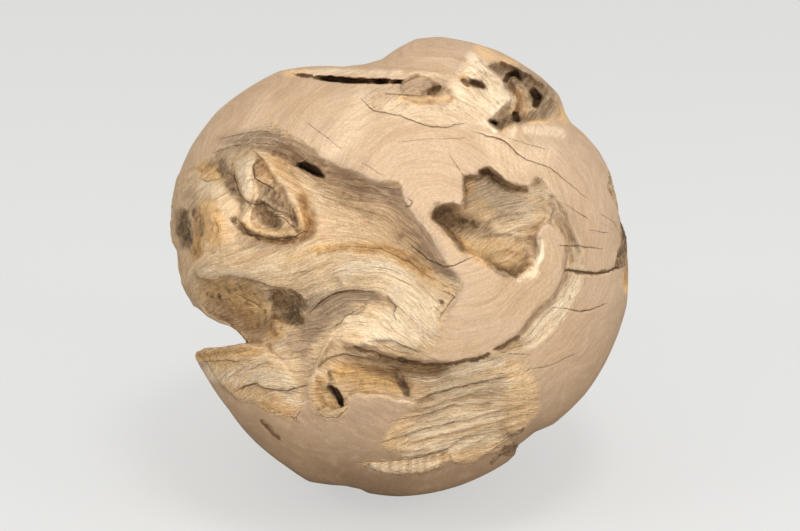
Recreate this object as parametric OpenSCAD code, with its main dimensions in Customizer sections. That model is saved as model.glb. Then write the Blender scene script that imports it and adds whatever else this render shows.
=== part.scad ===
// A ball of bleached tree root: one solid piece of wood, worn by weather into hollows,
// caves and ridges, with what was left outside them sanded back to a rough sphere.
// It is made as that happened. A sanded skin is lost inside each hollow's outline, down to
// a worn surface that lies deeper in the wood, and rot has eaten pockets further in.
// Places are [right, up] on the plane of the ball's rim, as they are seen from the front
// along lines of sight that meet at the eye.

/* [Ball] */
// Diameter of the sanded ball
ball_d = 500; // [440:5:560]
// Width of the flat that it stands on
foot_w = 120; // [100:2:140]
// Angle that the front looks up from level
front_tilt = 20; // [12:1:28]
// Height of the low swells left by hand sanding
swell = 2.5; // [0:0.5:5]

/* [Front hollows] */
// Deepest part of the wide hollow at the upper left
upper_hollow_depth = 40; // [25:1:52]
// Deepest part of the valley beside the fibre ridge
ridge_valley_depth = 9; // [5:1:16]
// Deepest part of the shaded hollow under the left lobe
lobe_hollow_depth = 36; // [20:1:45]
// Deepest part of the grey dip on the broad middle mass
dip_depth = 21; // [8:1:28]
// Deepest part of the worn face of the beak
beak_face_depth = 12; // [4:1:18]
// Deepest part of the terraced hollow under the middle mass
lower_hollow_depth = 20; // [12:1:28]
// Deepest part of the dark hollow tucked under the lip
under_lip_depth = 36; // [26:1:46]
// Deepest part of the pale channel outside the crescent
channel_depth = 15; // [8:1:24]
// Deepest part of the cave at the right of the middle
cave_depth = 46; // [32:1:60]
// Deepest part of the cave at the top right
top_cave_depth = 46; // [30:1:58]
// Deepest part of the worn crown at the top
crown_depth = 17; // [8:1:24]
// Deepest part of the ribbed scar near the bottom
scar_depth = 9; // [4:1:12]
// How far the broken root stub stands up in the upper left hollow
stub_height = 12; // [6:1:16]
// Height of the steps between the terraced layers
terrace_height = 5; // [2:0.5:7]

/* [Notch, slot and slits] */
// Depth of the notch above the beak, from the left edge
notch_depth = 72; // [50:1:90]
// Width of the notch at its mouth
notch_mouth = 46; // [30:1:60]
// Widest gap of the long slot at the top
slot_gap = 7; // [5:0.5:10]
// Depth of the long slot
slot_depth = 38; // [15:1:60]
// Depth of the narrow slits
slit_depth = 20; // [8:1:35]
// Depth of the long hole in the ring knot
knot_hole_depth = 24; // [14:1:36]

/* [Back and sides] */
// Deepest part of the long hollow across the back
back_hollow_depth = 36; // [18:1:50]
// Deepest part of the lower hollow at the back
back_pit_depth = 28; // [14:1:40]
// Deepest part of the fold on the left side, which the notch opens into
left_hollow_depth = 60; // [50:1:70]
// Deepest part of the hollow on the right side
right_hollow_depth = 24; // [12:1:36]
// Deepest part of the hollow across the top
top_hollow_depth = 20; // [10:1:30]

/* [Hidden] */

// The places below were laid out on a ball of this diameter, and follow ball_d
layout_d = 500;
ball_r = ball_d / 2;
layout = ball_d / layout_d;
eye_distance = 2400 * layout;
eye = [0, 0, eye_distance];
// Cuts start well outside the ball, at this share of its radius
cut_reach = 1.2;

// Each skin is six square patches of this many cells a side, drawn forward by this share,
// so that the worn front has the finer mesh
sanded_cells = 14;
sanded_draw = 0.1;
worn_cells = 31;
worn_draw = 0.5;

// No hollow reaches nearer to the plane of the rim than this share of its distance
reach_share = 0.86;
// No worn place lies less than this below the sanded skin
least_wear = 1.5;
// Distance within which one spot depth gives way to the next
spot_blur = 12;
// Distance over which a layer's edge rises
edge_blur = 4;
// Size of a hollow's outline at its full depth, as a share of its size at the skin
wall_draft = 0.98;
// Turns of the low swells across, up and through the ball, in degrees for its radius
swell_turns = [300, 260, 230, 200];
swell_start = 40;

// Outline of the whole ball from the front: [angle from the right, radius]
rim = [
    [0, 251], [15, 253], [30, 251], [36, 247], [40, 243], [43, 246], [47, 255], [53, 258], [65, 259],
    [80, 255], [86, 249], [91, 237], [95, 226], [100, 223], [106, 226], [114, 239], [122, 251],
    [130, 256], [140, 263], [150, 265], [160, 263], [170, 255], [176, 243], [180, 241], [185, 238],
    [190, 231], [196, 224], [204, 247], [220, 246], [230, 250], [247, 257], [256, 249], [262, 252],
    [270, 253], [285, 250], [299, 245], [303, 235], [309, 234], [314, 241], [325, 246], [340, 250],
    [350, 253], [360, 251]
];
rest_h = sqrt(pow(lookup(270, rim) * layout, 2) - pow(foot_w / 2, 2));

// Outlines inside which the sanded skin is lost
upper_front = [
    [-275, 92], [-232, 107], [-214, 116], [-198, 129], [-182, 140], [-165, 148], [-150, 154],
    [-130, 151], [-108, 138], [-88, 120], [-66, 108], [-36, 96], [-22, 92], [-2, 92], [2, 79],
    [9, 63], [25, 44], [44, 14], [60, -8], [68, -16], [66, -30], [52, -58], [42, -74], [10, -84],
    [-20, -84], [-50, -76], [-79, -74], [-86, -96], [-97, -126], [-112, -130], [-135, -112],
    [-150, -92], [-168, -86], [-190, -64], [-213, -54], [-230, -34], [-275, -30]
];
beak_face = [
    [-165, -87], [-140, -84], [-118, -96], [-104, -126], [-104, -142], [-108, -158], [-117, -167],
    [-127, -169], [-145, -160], [-160, -150], [-180, -148], [-195, -133], [-210, -113],
    [-224, -98], [-240, -95], [-222, -91], [-200, -88]
];
lower_hollow = [
    [-101, -132], [-93, -118], [-88, -104], [-83, -90], [-78, -82], [-65, -83], [-50, -87],
    [-22, -97], [10, -102], [22, -106], [60, -106], [94, -98], [112, -97], [130, -101],
    [146, -114], [152, -135], [150, -156], [140, -172], [122, -192], [104, -204], [82, -215],
    [62, -217], [20, -210], [0, -210], [-18, -197], [-10, -182], [2, -168], [20, -151],
    [8, -149], [-10, -146], [-36, -144], [-48, -140], [-57, -146], [-57, -157], [-66, -166],
    [-80, -168], [-93, -161], [-101, -148]
];
channel = [
    [150, 94], [162, 84], [171, 74], [182, 58], [189, 40], [197, 20], [202, 0], [201, -16],
    [193, -29], [186, -44], [176, -60], [162, -74], [148, -84], [132, -91], [112, -96],
    [106, -92], [118, -85], [130, -77], [140, -62], [152, -46], [166, -37], [176, -21],
    [182, -8], [183, 9], [180, 26], [173, 38], [164, 45], [155, 43], [152, 62], [148, 78]
];
cave = [
    [34, 52], [36, 59], [43, 66], [58, 70], [66, 66], [69, 72], [70, 98], [88, 99], [92, 109],
    [99, 109], [113, 95], [121, 89], [131, 86], [141, 87], [149, 98], [160, 88], [170, 64],
    [164, 48], [154, 41], [148, 30], [148, 8], [142, -8], [134, -14], [126, -14], [105, -2],
    [86, 12], [68, 18], [61, 28], [54, 36], [48, 40]
];
top_cave = [
    [94, 220], [100, 224], [124, 222], [134, 216], [158, 200], [168, 190], [173, 181], [175, 170],
    [171, 162], [150, 159], [125, 157], [113, 147], [97, 160], [108, 168], [116, 177], [124, 184],
    [118, 195], [105, 213]
];
crown = [
    [-42, 184], [-30, 194], [-12, 197], [0, 202], [8, 208], [30, 213], [45, 208], [60, 213],
    [68, 225], [80, 231], [88, 222], [97, 206], [101, 190], [98, 176], [88, 166], [80, 153],
    [60, 154], [33, 154], [15, 159], [0, 165], [-31, 173]
];
scar = [
    [-44, -217], [0, -213], [25, -210], [54, -200], [56, -212], [48, -221], [30, -228], [0, -231],
    [-22, -228]
];
front_outlines = [upper_front, beak_face, lower_hollow, channel, cave, top_cave, crown, scar];

// Spot depths of the worn surface: [right, up, depth below the sanded skin]
upper_floor = [
    [-256, 60, 2], [-240, 96, 6], [-228, 100, 10], [-210, 103, 19], [-196, 106, 24], [-188, 98, 24],
    [-186, 84, 20], [-178, 68, 14], [-215, 85, 7], [-200, 76, 6], [-222, 68, 6], [-206, 52, 4],
    [-190, 48, 9], [-228, 45, 9], [-240, 40, 8], [-235, 20, 6], [-212, 30, 6], [-190, 24, 8],
    [-196, 122, 7], [-180, 130, 8], [-160, 142, 6], [-160, 133, 10], [-140, 138, 12],
    [-140, 149, 6], [-128, 146, 7], [-115, 140, 8], [-125, 130, 18], [-112, 114, 33],
    [-100, 125, 12], [-86, 113, 12], [-88, 99, 36], [-70, 102, 16], [-60, 84, 38], [-48, 97, 12],
    [-36, 70, 40], [-28, 87, 14], [-10, 89, 12], [-12, 56, 40], [0, 76, 14], [6, 58, 20],
    [6, 34, 38], [20, 40, 14], [22, 12, 30], [36, 10, 16], [38, -8, 18], [54, -8, 6],
    [-112, 84, 15], [-95, 66, 20], [-84, 80, 31], [-72, 52, 26], [-50, 50, 31], [-30, 40, 33],
    [-10, 20, 27], [14, -2, 15], [-90, 36, 17], [-60, 34, 18], [-115, 20, 12], [-140, 15, 12],
    [-165, 20, 12], [-185, 10, 7], [-210, 10, 5], [-150, 100, 16], [-140, 75, 17], [-130, 55, 18],
    [-160, 60, 14]
];
ridge_floor = [
    [-225, 3, 2], [-200, -3, 2], [-170, -6, 2], [-140, -8, 3], [-110, 2, 4], [-85, 12, 5],
    [-60, 20, 6], [-35, 16, 6], [-10, 8, 6], [10, -4, 6], [30, -18, 5], [50, -30, 3],
    [-80, -10, 9], [-50, -8, 8], [-20, -10, 7], [0, -30, 4], [25, -45, 2], [45, -60, 1],
    [10, -70, 0], [-20, -75, 0], [-45, -72, 3], [-60, -78, 4]
];
dip_floor = [
    [-90, -30, 13], [-60, -36, 14], [-30, -38, 8], [-85, -50, 21], [-60, -50, 14], [-35, -52, 6],
    [-95, -75, 19], [-75, -66, 12], [-105, -95, 13], [-86, -88, 8], [-96, -115, 6], [-120, -90, 15]
];
lobe_floor = [
    [-215, -14, 3], [-190, -14, 4], [-160, -20, 7], [-215, -30, 11], [-190, -30, 14],
    [-165, -32, 18], [-145, -34, 23], [-215, -46, 19], [-195, -48, 22], [-170, -52, 28],
    [-150, -55, 30], [-195, -62, 30], [-175, -68, 36], [-158, -74, 35], [-165, -84, 35],
    [-145, -80, 25], [-125, -35, 27], [-125, -50, 34], [-112, -62, 29], [-110, -40, 21],
    [-137, -68, 20], [-130, -84, 15]
];
beak_floor = [
    [-150, -98, 7], [-180, -100, 5], [-210, -100, 3], [-170, -120, 4], [-200, -115, 3],
    [-140, -112, 7], [-118, -120, 9], [-112, -104, 12], [-118, -140, 7], [-150, -128, 3],
    [-148, -145, 6], [-125, -155, 5], [-175, -142, 4], [-190, -130, 3]
];
lower_floor = [
    [-60, -134, 12], [-30, -136, 12], [0, -139, 15], [-85, -120, 8], [-92, -138, 5], [-76, -146, 9],
    [-62, -160, 6], [-70, -92, 11], [-80, -104, 14], [34, -128, 18], [54, -112, 20], [60, -120, 16],
    [84, -107, 13], [104, -102, 9], [60, -134, 16], [100, -120, 12], [125, -115, 5],
    [140, -130, 3], [30, -147, 16], [80, -147, 15], [125, -145, 8], [15, -165, 13],
    [60, -165, 14], [110, -160, 10], [-6, -187, 7], [40, -184, 11], [90, -177, 11],
    [130, -167, 6], [10, -203, 5], [50, -203, 7], [90, -195, 8], [116, -188, 7], [80, -210, 3],
    [0, -150, 9], [145, -155, 3]
];
lip_floor = [
    [-45, -98, 22], [-60, -113, 24], [-30, -115, 27], [-20, -104, 34], [0, -119, 30],
    [10, -128, 24], [20, -112, 36], [38, -113, 28]
];
channel_floor = [
    [112, -91, 7], [125, -83, 10], [145, -62, 13], [158, -45, 14], [172, -28, 15], [183, -8, 15],
    [188, 12, 15], [184, 28, 15], [174, 44, 13], [164, 56, 12], [150, -82, 4], [166, -66, 5],
    [178, -52, 5], [190, -30, 5], [199, -10, 5], [199, 5, 6], [192, 24, 7], [184, 44, 8],
    [174, 62, 9], [160, 82, 8], [152, 90, 6], [158, 70, 14]
];
cave_floor = [
    [44, 58, 44], [58, 46, 42], [80, 88, 34], [80, 62, 46], [95, 100, 36], [102, 66, 46],
    [122, 78, 32], [142, 78, 21], [158, 70, 16], [100, 34, 42], [76, 28, 26], [90, 14, 18],
    [110, 6, 20], [128, -4, 14], [122, 24, 34], [140, 44, 26], [122, 50, 42], [136, 16, 22],
    [62, 62, 46], [146, 10, 8], [146, 30, 12]
];
top_cave_floor = [
    [102, 218, 16], [115, 216, 24], [126, 208, 40], [120, 203, 34], [140, 205, 26], [150, 198, 26],
    [162, 186, 20], [168, 174, 12], [150, 184, 46], [140, 195, 34], [130, 180, 32], [132, 195, 32],
    [128, 170, 26], [138, 165, 22], [150, 168, 22], [160, 168, 14], [118, 170, 22], [125, 163, 32],
    [108, 160, 22], [102, 160, 18], [112, 152, 14], [118, 158, 18]
];
crown_floor = [
    [-30, 186, 4], [-10, 191, 5], [10, 198, 13], [22, 194, 17], [38, 193, 17], [50, 187, 12],
    [15, 182, 8], [10, 170, 4], [40, 165, 4], [60, 165, 5], [60, 205, 6], [75, 204, 10],
    [85, 200, 12], [75, 190, 5], [92, 190, 1], [85, 172, 3], [95, 206, 2], [80, 222, 3],
    [30, 208, 6], [65, 178, 7]
];
scar_floor = [[10, -217, 9], [10, -226, 4], [45, -210, 8], [-26, -220, 6], [40, -220, 4]];
floors = [
    [upper_floor, upper_hollow_depth], [ridge_floor, ridge_valley_depth], [dip_floor, dip_depth],
    [lobe_floor, lobe_hollow_depth], [beak_floor, beak_face_depth], [lower_floor, lower_hollow_depth],
    [lip_floor, under_lip_depth], [channel_floor, channel_depth], [cave_floor, cave_depth],
    [top_cave_floor, top_cave_depth], [crown_floor, crown_depth], [scar_floor, scar_depth]
];
spots = [
    for (part = floors)
        let(deepest = max([for (spot = part[0]) spot.z]))
            for (spot = part[0])
                [spot.x, spot.y, spot.z * part[1] / deepest]
];

// Forms with a level top that stand up from the worn floor: [right, up, half width] along each
stub_body = [[-162, 110, 22], [-152, 84, 34], [-140, 58, 42], [-128, 46, 26]];
stub_face = [[-158, 106, 8], [-146, 84, 18], [-138, 60, 28], [-140, 50, 22]];
lobe_pit = [[-130, -40, 22], [-114, -56, 20]];
levels = [[stub_body, stub_height], [stub_face, -0.6 * stub_height]];

// Rounded ridges, and furrows below 0: [right, up, half width] along each, and height
ridges = [
    [[[-171, 114, 10], [-169, 98, 11], [-165, 84, 9]], 5],
    [[[-214, 62, 10], [-206, 44, 12], [-196, 30, 10]], 4],
    [[[-240, 54, 8], [-238, 40, 9], [-234, 26, 8]], -6],
    [[[-150, 62, 10], [-146, 50, 11], [-136, 46, 9]], -5],
    [[[126, 204, 7], [131, 196, 8], [136, 184, 9], [137, 172, 9], [132, 166, 8]], 18],
    [[[78, 226, 8], [92, 212, 8], [100, 198, 8]], 3],
    [[[-80, -84, 7], [-88, -104, 7], [-93, -118, 7], [-100, -130, 6]], 3],
    [[[-138, -62, 9], [-136, -72, 9]], 6]
];

// Layers of wood that end in an edge: what lies to the left of each line stands up, and
// falls back over the reach
ledges = [
    [[[-232, 2], [-222, -13], [-205, -15], [-175, -13], [-150, -20], [-116, -24]], 8, 15],
    [[[-103, -54], [-85, -38], [-70, -30], [-30, -29], [-15, -33], [-4, -45], [-4, -62]], 4, 12],
    [[[10, -151], [35, -141], [60, -134], [90, -127], [126, -122]], terrace_height, 9],
    [[[0, -161], [30, -155], [50, -150], [75, -142], [118, -142]], terrace_height, 9],
    [[[-18, -195], [20, -181], [60, -172], [110, -160], [148, -150]], terrace_height, 10],
    [[[-12, -212], [20, -209], [50, -201], [72, -187], [100, -184], [140, -171]], terrace_height, 8]
];

// The long slot and the slits: [right, up] of closed outlines
slot_left = [-112, 211];
slot_bend = [-92, 207];
slot_middle = [-60, 204];
slot_right = [4, 202.5];
upper_slit = [[-112, 110], [-101, 114], [-84, 99], [-94, 98]];
beak_slit = [[-152, -170], [-147, -170], [-131, -189], [-135, -192]];
upper_slit_start = 30;

// Pockets that rot has eaten: [right, up, depth below the ball, radius] along each
cave_pocket = [[66, 54, 38, 9], [47, 58, 56, 8]];
drip_pocket = [[97, 94, 28, 6], [96, 100, 48, 6]];
top_cave_pocket = [[150, 186, 30, 7], [148, 182, 70, 5]];
tooth_pocket = [[122, 206, 20, 5], [123, 204, 60, 5]];
head_pocket = [[84, 200, 4, 4], [83, 199, 24, 4]];
lip_pocket = [[-34, -101, 24, 5], [4, -110, 30, 7], [40, -112, 27, 5]];
knot_top = [-76, -136];
knot_foot = [-67, -147];
knot_hole_r = 4;
knot_hole_start = 4;

// The wedge of the notch, as steps from its inner tip and from the top of its mouth
notch_reach = -237;
notch_tip_up = -86;
notch_low = [[-300, -98], [-224, -94], [-200, -91]];
notch_steps = [[-7, 6], [-14, 14], [-25, 20]];
notch_mouth_left = -224;
notch_mouth_steps = [[11, -8], [0, 0], [-76, 14]];
notch_back = 50;

// The same for the sides that the front doesn't show, each as it is seen from its own side
back_hollow = [
    [-176, 40], [-150, 78], [-104, 84], [-80, 112], [-30, 124], [-8, 96], [30, 84], [58, 44],
    [104, 20], [92, -14], [40, -6], [0, 22], [-60, 26], [-104, -4], [-150, 8]
];
back_trough = [[-160, 40, 46], [-100, 50, 64], [-40, 76, 64], [20, 46, 56], [90, 4, 40]];
back_pit = [
    [34, -70], [60, -62], [84, -44], [130, -58], [172, -96], [150, -130], [104, -128], [80, -150],
    [50, -136], [56, -104]
];
back_pit_trough = [[50, -84, 44], [100, -90, 60], [150, -104, 40]];
left_hollow = [
    [-200, -62], [-152, -36], [-96, -18], [-40, -34], [14, -56], [34, -78], [14, -98], [-44, -116],
    [-92, -134], [-150, -132], [-196, -104]
];
left_trough = [[-176, -88, 56], [-110, -78, 66], [-50, -78, 58], [16, -78, 40]];
right_hollow = [
    [-96, 92], [-40, 116], [8, 96], [34, 48], [76, 20], [64, -18], [22, -6], [-14, 34], [-66, 48]
];
right_trough = [[-80, 74, 36], [-30, 80, 46], [14, 46, 40], [60, 2, 34]];
top_hollow = [
    [-120, 34], [-60, 66], [0, 44], [64, 78], [108, 66], [70, 36], [14, 6], [-50, 12]
];
top_trough = [[-106, 32, 30], [-50, 38, 40], [10, 24, 36], [90, 66, 28]];

function smooth(t) = let(c = max(0, min(1, t))) c * c * (3 - 2 * c);
function unit(p) = p / norm(p);
function flat(p) = [p.x, p.y];
function total(v) = v * [for (k = v) 1];
function along(p, a, b) = let(ab = b - a) max(0, min(1, (p - a) * ab / (ab * ab)));

// Distance to a line as a share of its own half width there
function near_line(p, line) =
    min([
        for (i = [0:len(line) - 2])
            let(
                a = line[i],
                b = line[i + 1],
                nearest = a + along(p, flat(a), flat(b)) * (b - a)
            )
                norm(p - flat(nearest)) / nearest.z
    ]);
function furrow(p, line) = smooth(1 - near_line(p, line));
function level_top(p, line) = smooth(3 * (1 - near_line(p, line)));

// 1 at the left of a line, falling back over the reach, and 0 at its right
function ledge(p, line, reach) =
    let(
        gaps = [
            for (i = [0:len(line) - 2])
                norm(p - line[i] - along(p, line[i], line[i + 1]) * (line[i + 1] - line[i]))
        ],
        near = min(gaps),
        i = [for (k = [0:len(gaps) - 1]) if (gaps[k] == near) k][0],
        step = line[i + 1] - line[i],
        turn = step.x * (p.y - line[i].y) - step.y * (p.x - line[i].x)
    )
        smooth((near * sign(turn) / edge_blur + 1) / 2) * (turn > 0 ? exp(-near / reach) : 1);

// Depth of the worn surface at a place on the front, blended from the spots round it
function spot_depth(p) =
    let(
        weights = [
            for (spot = spots)
                let(gap = p - flat(spot)) pow(gap * gap + spot_blur * spot_blur, -2)
        ]
    )
        weights * [for (spot = spots) spot.z] / total(weights);
function front_wear(p) =
    max(
        least_wear,
        spot_depth(p)
            - total([for (form = levels) form[1] * level_top(p, form[0])])
            - total([for (form = ridges) form[1] * furrow(p, form[0])])
            - total([for (form = ledges) form[1] * ledge(p, form[0], form[2])])
    );

// Depth of the worn surface at a place on each other side
function back_wear(p) =
    max(furrow(p, back_trough) * back_hollow_depth, furrow(p, back_pit_trough) * back_pit_depth);
function side_wear(p, side) =
    side == "front" ? front_wear(p) :
    side == "back" ? back_wear(p) :
    side == "left" ? furrow(p, left_trough) * left_hollow_depth :
    side == "right" ? furrow(p, right_trough) * right_hollow_depth :
    furrow(p, top_trough) * top_hollow_depth;

// A point as [right, up, towards the eye] for someone who looks at a side, and back again
SIDES = ["front", "back", "left", "right", "top"];
function turned(p, side) =
    side == "back" ? [-p.x, p.y, -p.z] :
    side == "left" ? [p.z, p.y, -p.x] :
    side == "right" ? [-p.z, p.y, p.x] :
    side == "top" ? [p.x, -p.z, p.y] : p;
function turned_back(p, side) =
    side == "back" ? [-p.x, p.y, -p.z] :
    side == "left" ? [-p.z, p.y, p.x] :
    side == "right" ? [p.z, p.y, -p.x] :
    side == "top" ? [p.x, p.z, -p.y] : p;

// Moves a point away from the eye by the wear of one side, then of the next
function worn(p, i = 0) =
    i == len(SIDES) ? p :
    let(
        side = SIDES[i],
        q = turned(p, side),
        place = flat(q) * eye_distance / (eye_distance - q.z) / layout,
        depth = q.z > 0 ? min(side_wear(place, side), q.z * reach_share) : 0
    )
        worn(depth > 0 ? turned_back(q + depth * unit(q - eye), side) : p, i + 1);

// The sanded ball: its outline from the front fades into a plain sphere to the front and back
function sanded(n) =
    let(
        angle = (atan2(n.y, n.x) + 360) % 360,
        at_rim = pow(norm(flat(n)), 5),
        across = sin(swell_turns[0] * n.x + swell_start) * cos(swell_turns[1] * n.y),
        through = sin(swell_turns[2] * n.z + swell_turns[3] * n.x) * (1 - at_rim)
    )
        n * (ball_r + (lookup(angle, rim) * layout - ball_r) * at_rim
            + swell * (across + through) * (1 - abs(n.y)));

// Six square patches wrap the ball, and share their edge points
PATCHES = [
    [[1, 0, 0], [0, 1, 0], [0, 0, 1]], [[-1, 0, 0], [0, 0, 1], [0, 1, 0]],
    [[0, 1, 0], [0, 0, 1], [1, 0, 0]], [[0, -1, 0], [1, 0, 0], [0, 0, 1]],
    [[0, 0, 1], [1, 0, 0], [0, 1, 0]], [[0, 0, -1], [0, 1, 0], [1, 0, 0]]
];
function direction(patch, i, j, cells, draw) =
    let(at = patch[0] * cells + patch[1] * (2 * i - cells) + patch[2] * (2 * j - cells))
        unit(unit([for (k = at) tan(45 * k / cells)]) + [0, 0, draw]);
function patch_faces(cells) = [
    for (f = [0:len(PATCHES) - 1], i = [0:cells - 1], j = [0:cells - 1])
        let(row = cells + 1, a = (f * row + i) * row + j)
            each [[a, a + 1, a + row + 1], [a, a + row + 1, a + row]]
];

module sanded_skin() {
    points = [
        for (patch = PATCHES, i = [0:sanded_cells], j = [0:sanded_cells])
            sanded(direction(patch, i, j, sanded_cells, sanded_draw))
    ];
    polyhedron(points, patch_faces(sanded_cells));
}

module worn_skin() {
    points = [
        for (patch = PATCHES, i = [0:worn_cells], j = [0:worn_cells])
            worn(sanded(direction(patch, i, j, worn_cells, worn_draw)))
    ];
    polyhedron(points, patch_faces(worn_cells));
}

// The point on a line of sight that lies this deep below the ball
function below(place, depth) =
    let(
        sight = unit([place.x * layout, place.y * layout, -eye_distance]),
        middle = -eye * sight,
        half = sqrt(max(0, middle * middle - eye * eye + ball_r * ball_r))
    )
        eye + sight * (middle - half + depth);

// Cuts an outline along the lines of sight, between two distances from the rim's plane
module sight_cut(outline, from, to, draft = 1) {
    spread = function(z) (eye_distance - z) / eye_distance;
    middle = [for (k = [0, 1]) (min([for (p = outline) p[k]]) + max([for (p = outline) p[k]])) / 2];
    start = spread(from) * layout;
    translate([middle.x * start, middle.y * start, from])
        linear_extrude(height = to - from, scale = spread(to) / spread(from) / draft)
            scale(start * draft)
                translate(-middle)
                    polygon(outline);
}

// Everything in front of the rim's plane that lies in a hollow's outline, for each side
module lost_skin() {
    for (outline = front_outlines)
        sight_cut(outline, 0, cut_reach * ball_r, wall_draft);
    rotate([0, 180, 0])
        for (outline = [back_hollow, back_pit])
            sight_cut(outline, 0, cut_reach * ball_r, wall_draft);
    rotate([0, -90, 0])
        sight_cut(left_hollow, 0, cut_reach * ball_r, wall_draft);
    rotate([0, 90, 0])
        sight_cut(right_hollow, 0, cut_reach * ball_r, wall_draft);
    rotate([-90, 0, 0])
        sight_cut(top_hollow, 0, cut_reach * ball_r, wall_draft);
}

// A winding pocket that rot has eaten out
module pocket(stops) {
    for (i = [0:len(stops) - 2])
        hull()
            for (stop = [stops[i], stops[i + 1]])
                translate(below(stop, stop.z))
                    sphere(r = stop[3] * layout, $fn = 8);
}

// The wedge between the left lobe and the beak, rounded on its upper side
module notch() {
    tip = [notch_reach + notch_depth, notch_tip_up];
    mouth = [notch_mouth_left, notch_low[1].y + notch_mouth];
    wedge = [
        tip, for (step = notch_steps) tip + step, for (step = notch_mouth_steps) mouth + step,
        each notch_low
    ];
    sight_cut(wedge, -notch_back * layout, ball_r);
}

module long_slot() {
    gap = [0, slot_gap / 2];
    skin_z = below(slot_middle, 0).z;
    sight_cut(
        [slot_left, slot_bend - gap, slot_middle - gap, slot_right - gap / 3, slot_right + gap / 3,
         slot_middle + gap, slot_bend + gap],
        skin_z - slot_depth,
        ball_r
    );
}

module slits() {
    sight_cut(upper_slit, below(upper_slit[0], upper_slit_start + slit_depth).z, ball_r);
    sight_cut(beak_slit, below(beak_slit[0], slit_depth).z, ball_r);
}

module root_ball() {
    color("burlywood")
        difference() {
            translate([0, 0, rest_h])
                rotate([90 - front_tilt, 0, 0])
                    difference() {
                        sanded_skin();
                        difference() {
                            lost_skin();
                            worn_skin();
                        }
                        notch();
                        long_slot();
                        slits();
                        for (stops = [cave_pocket, drip_pocket, top_cave_pocket, tooth_pocket, head_pocket,
                                      lip_pocket])
                            pocket(stops);
                        pocket([[each knot_top, knot_hole_start, knot_hole_r],
                                [each knot_foot, knot_hole_depth, knot_hole_r]]);
                    }
            translate([-ball_d, -ball_d, -ball_d])
                cube([2 * ball_d, 2 * ball_d, ball_d]);
        }
}

root_ball();
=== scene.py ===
import math

import bmesh
import bpy
import numpy as np
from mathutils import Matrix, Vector


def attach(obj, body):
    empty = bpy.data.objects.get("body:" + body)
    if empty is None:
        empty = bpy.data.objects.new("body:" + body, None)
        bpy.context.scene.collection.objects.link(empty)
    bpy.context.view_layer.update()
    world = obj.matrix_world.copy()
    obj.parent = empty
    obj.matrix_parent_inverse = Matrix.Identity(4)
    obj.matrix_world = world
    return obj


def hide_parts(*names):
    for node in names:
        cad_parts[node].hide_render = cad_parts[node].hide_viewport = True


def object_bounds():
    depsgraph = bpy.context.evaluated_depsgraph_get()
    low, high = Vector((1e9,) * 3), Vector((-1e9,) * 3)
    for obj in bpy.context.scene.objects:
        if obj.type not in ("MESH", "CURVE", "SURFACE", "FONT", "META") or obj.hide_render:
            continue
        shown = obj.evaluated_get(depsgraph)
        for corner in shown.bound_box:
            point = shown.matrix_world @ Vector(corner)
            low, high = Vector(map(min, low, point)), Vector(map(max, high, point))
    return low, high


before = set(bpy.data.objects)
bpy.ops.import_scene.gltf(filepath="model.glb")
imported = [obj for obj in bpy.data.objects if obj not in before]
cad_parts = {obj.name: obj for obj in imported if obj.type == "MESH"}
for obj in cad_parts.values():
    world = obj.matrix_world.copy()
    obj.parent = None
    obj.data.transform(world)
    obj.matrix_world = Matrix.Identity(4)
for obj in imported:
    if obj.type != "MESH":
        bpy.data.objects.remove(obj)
cad_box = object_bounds()

# THE BALL, its form
# One block of bleached tree root. Weather has worn it into hollows, caves and ridges, and
# what stood out past them was sanded back by hand to a rough sphere with a small flat foot.
# Places are [right, up] in mm on the plane of the rim, as seen from the front's eye point.
ball_mm = 250.0
eye_mm = 2400.0
front_tilt = math.radians(20)
foot_half_mm = 60.0
foot_radius_mm = 253.0
rest_mm = math.sqrt(foot_radius_mm**2 - foot_half_mm**2)

# Outline of the ball from the front: angle from the right in degrees, and radius in mm
rim = [
    (0, 251), (5, 250), (15, 253), (30, 251), (36, 247), (40, 243), (43, 246), (47, 255), (53, 258),
    (65, 259), (80, 255), (86, 249), (91, 237), (95, 226), (100, 223), (106, 226), (114, 239),
    (122, 251), (130, 256), (140, 263), (150, 265), (160, 263), (170, 255), (174, 250), (176, 243),
    (180, 241), (185, 238), (190, 231), (196, 224), (204, 247), (210, 246), (220, 246), (230, 250),
    (240, 253), (247, 257), (256, 249), (260, 249), (262, 252), (270, 253), (285, 250), (299, 245),
    (301.5, 242), (303, 235), (309, 234), (314, 241), (325, 246), (340, 250), (350, 253),
    (360, 251),
]


def smooth(t):
    """A soft step from 0 to 1."""
    t = np.clip(t, 0, 1)
    return t * t * (3 - 2 * t)


def lattice_hash(x, y, z, seed):
    """An even value from 0 to 1 for each corner of a lattice, the same on each run."""
    h = (x * 374761393 + y * 668265263 + z * 974634777 + seed * 69069) & 0xFFFFFFFF
    h = ((h ^ (h >> 13)) * 1274126177) & 0xFFFFFFFF
    h = ((h ^ (h >> 16)) * 2246822519) & 0xFFFFFFFF
    return (h ^ (h >> 15)) / 0xFFFFFFFF


def ripple(x, y, z, seed):
    """Smooth noise from -1 to 1 that changes over a distance of about one unit."""
    floors = [np.floor(k).astype(np.int64) for k in (x, y, z)]
    parts = [smooth(k - f) for k, f in zip((x, y, z), floors)]
    total = 0
    for i in (0, 1):
        for j in (0, 1):
            for k in (0, 1):
                weight = np.ones_like(parts[0])
                for part, step in zip(parts, (i, j, k)):
                    weight = weight * (part if step else 1 - part)
                corner = (floors[0] + i, floors[1] + j, floors[2] + k)
                total = total + weight * lattice_hash(*corner, seed)
    return 2 * total - 1


def rough(x, y, z, seed, layers=3):
    """Ripples with finer and lower ones on top of them, from about -1 to 1."""
    total, height, three_layers_high = 0, 1.0, 1.75
    for layer in range(layers):
        total = total + height * ripple(x * 2**layer, y * 2**layer, z * 2**layer, seed + layer)
        height *= 0.5
    return total / three_layers_high


def rough_at(points, size_mm, seed, layers=3):
    return rough(*(points / size_mm).T, seed, layers)


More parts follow.
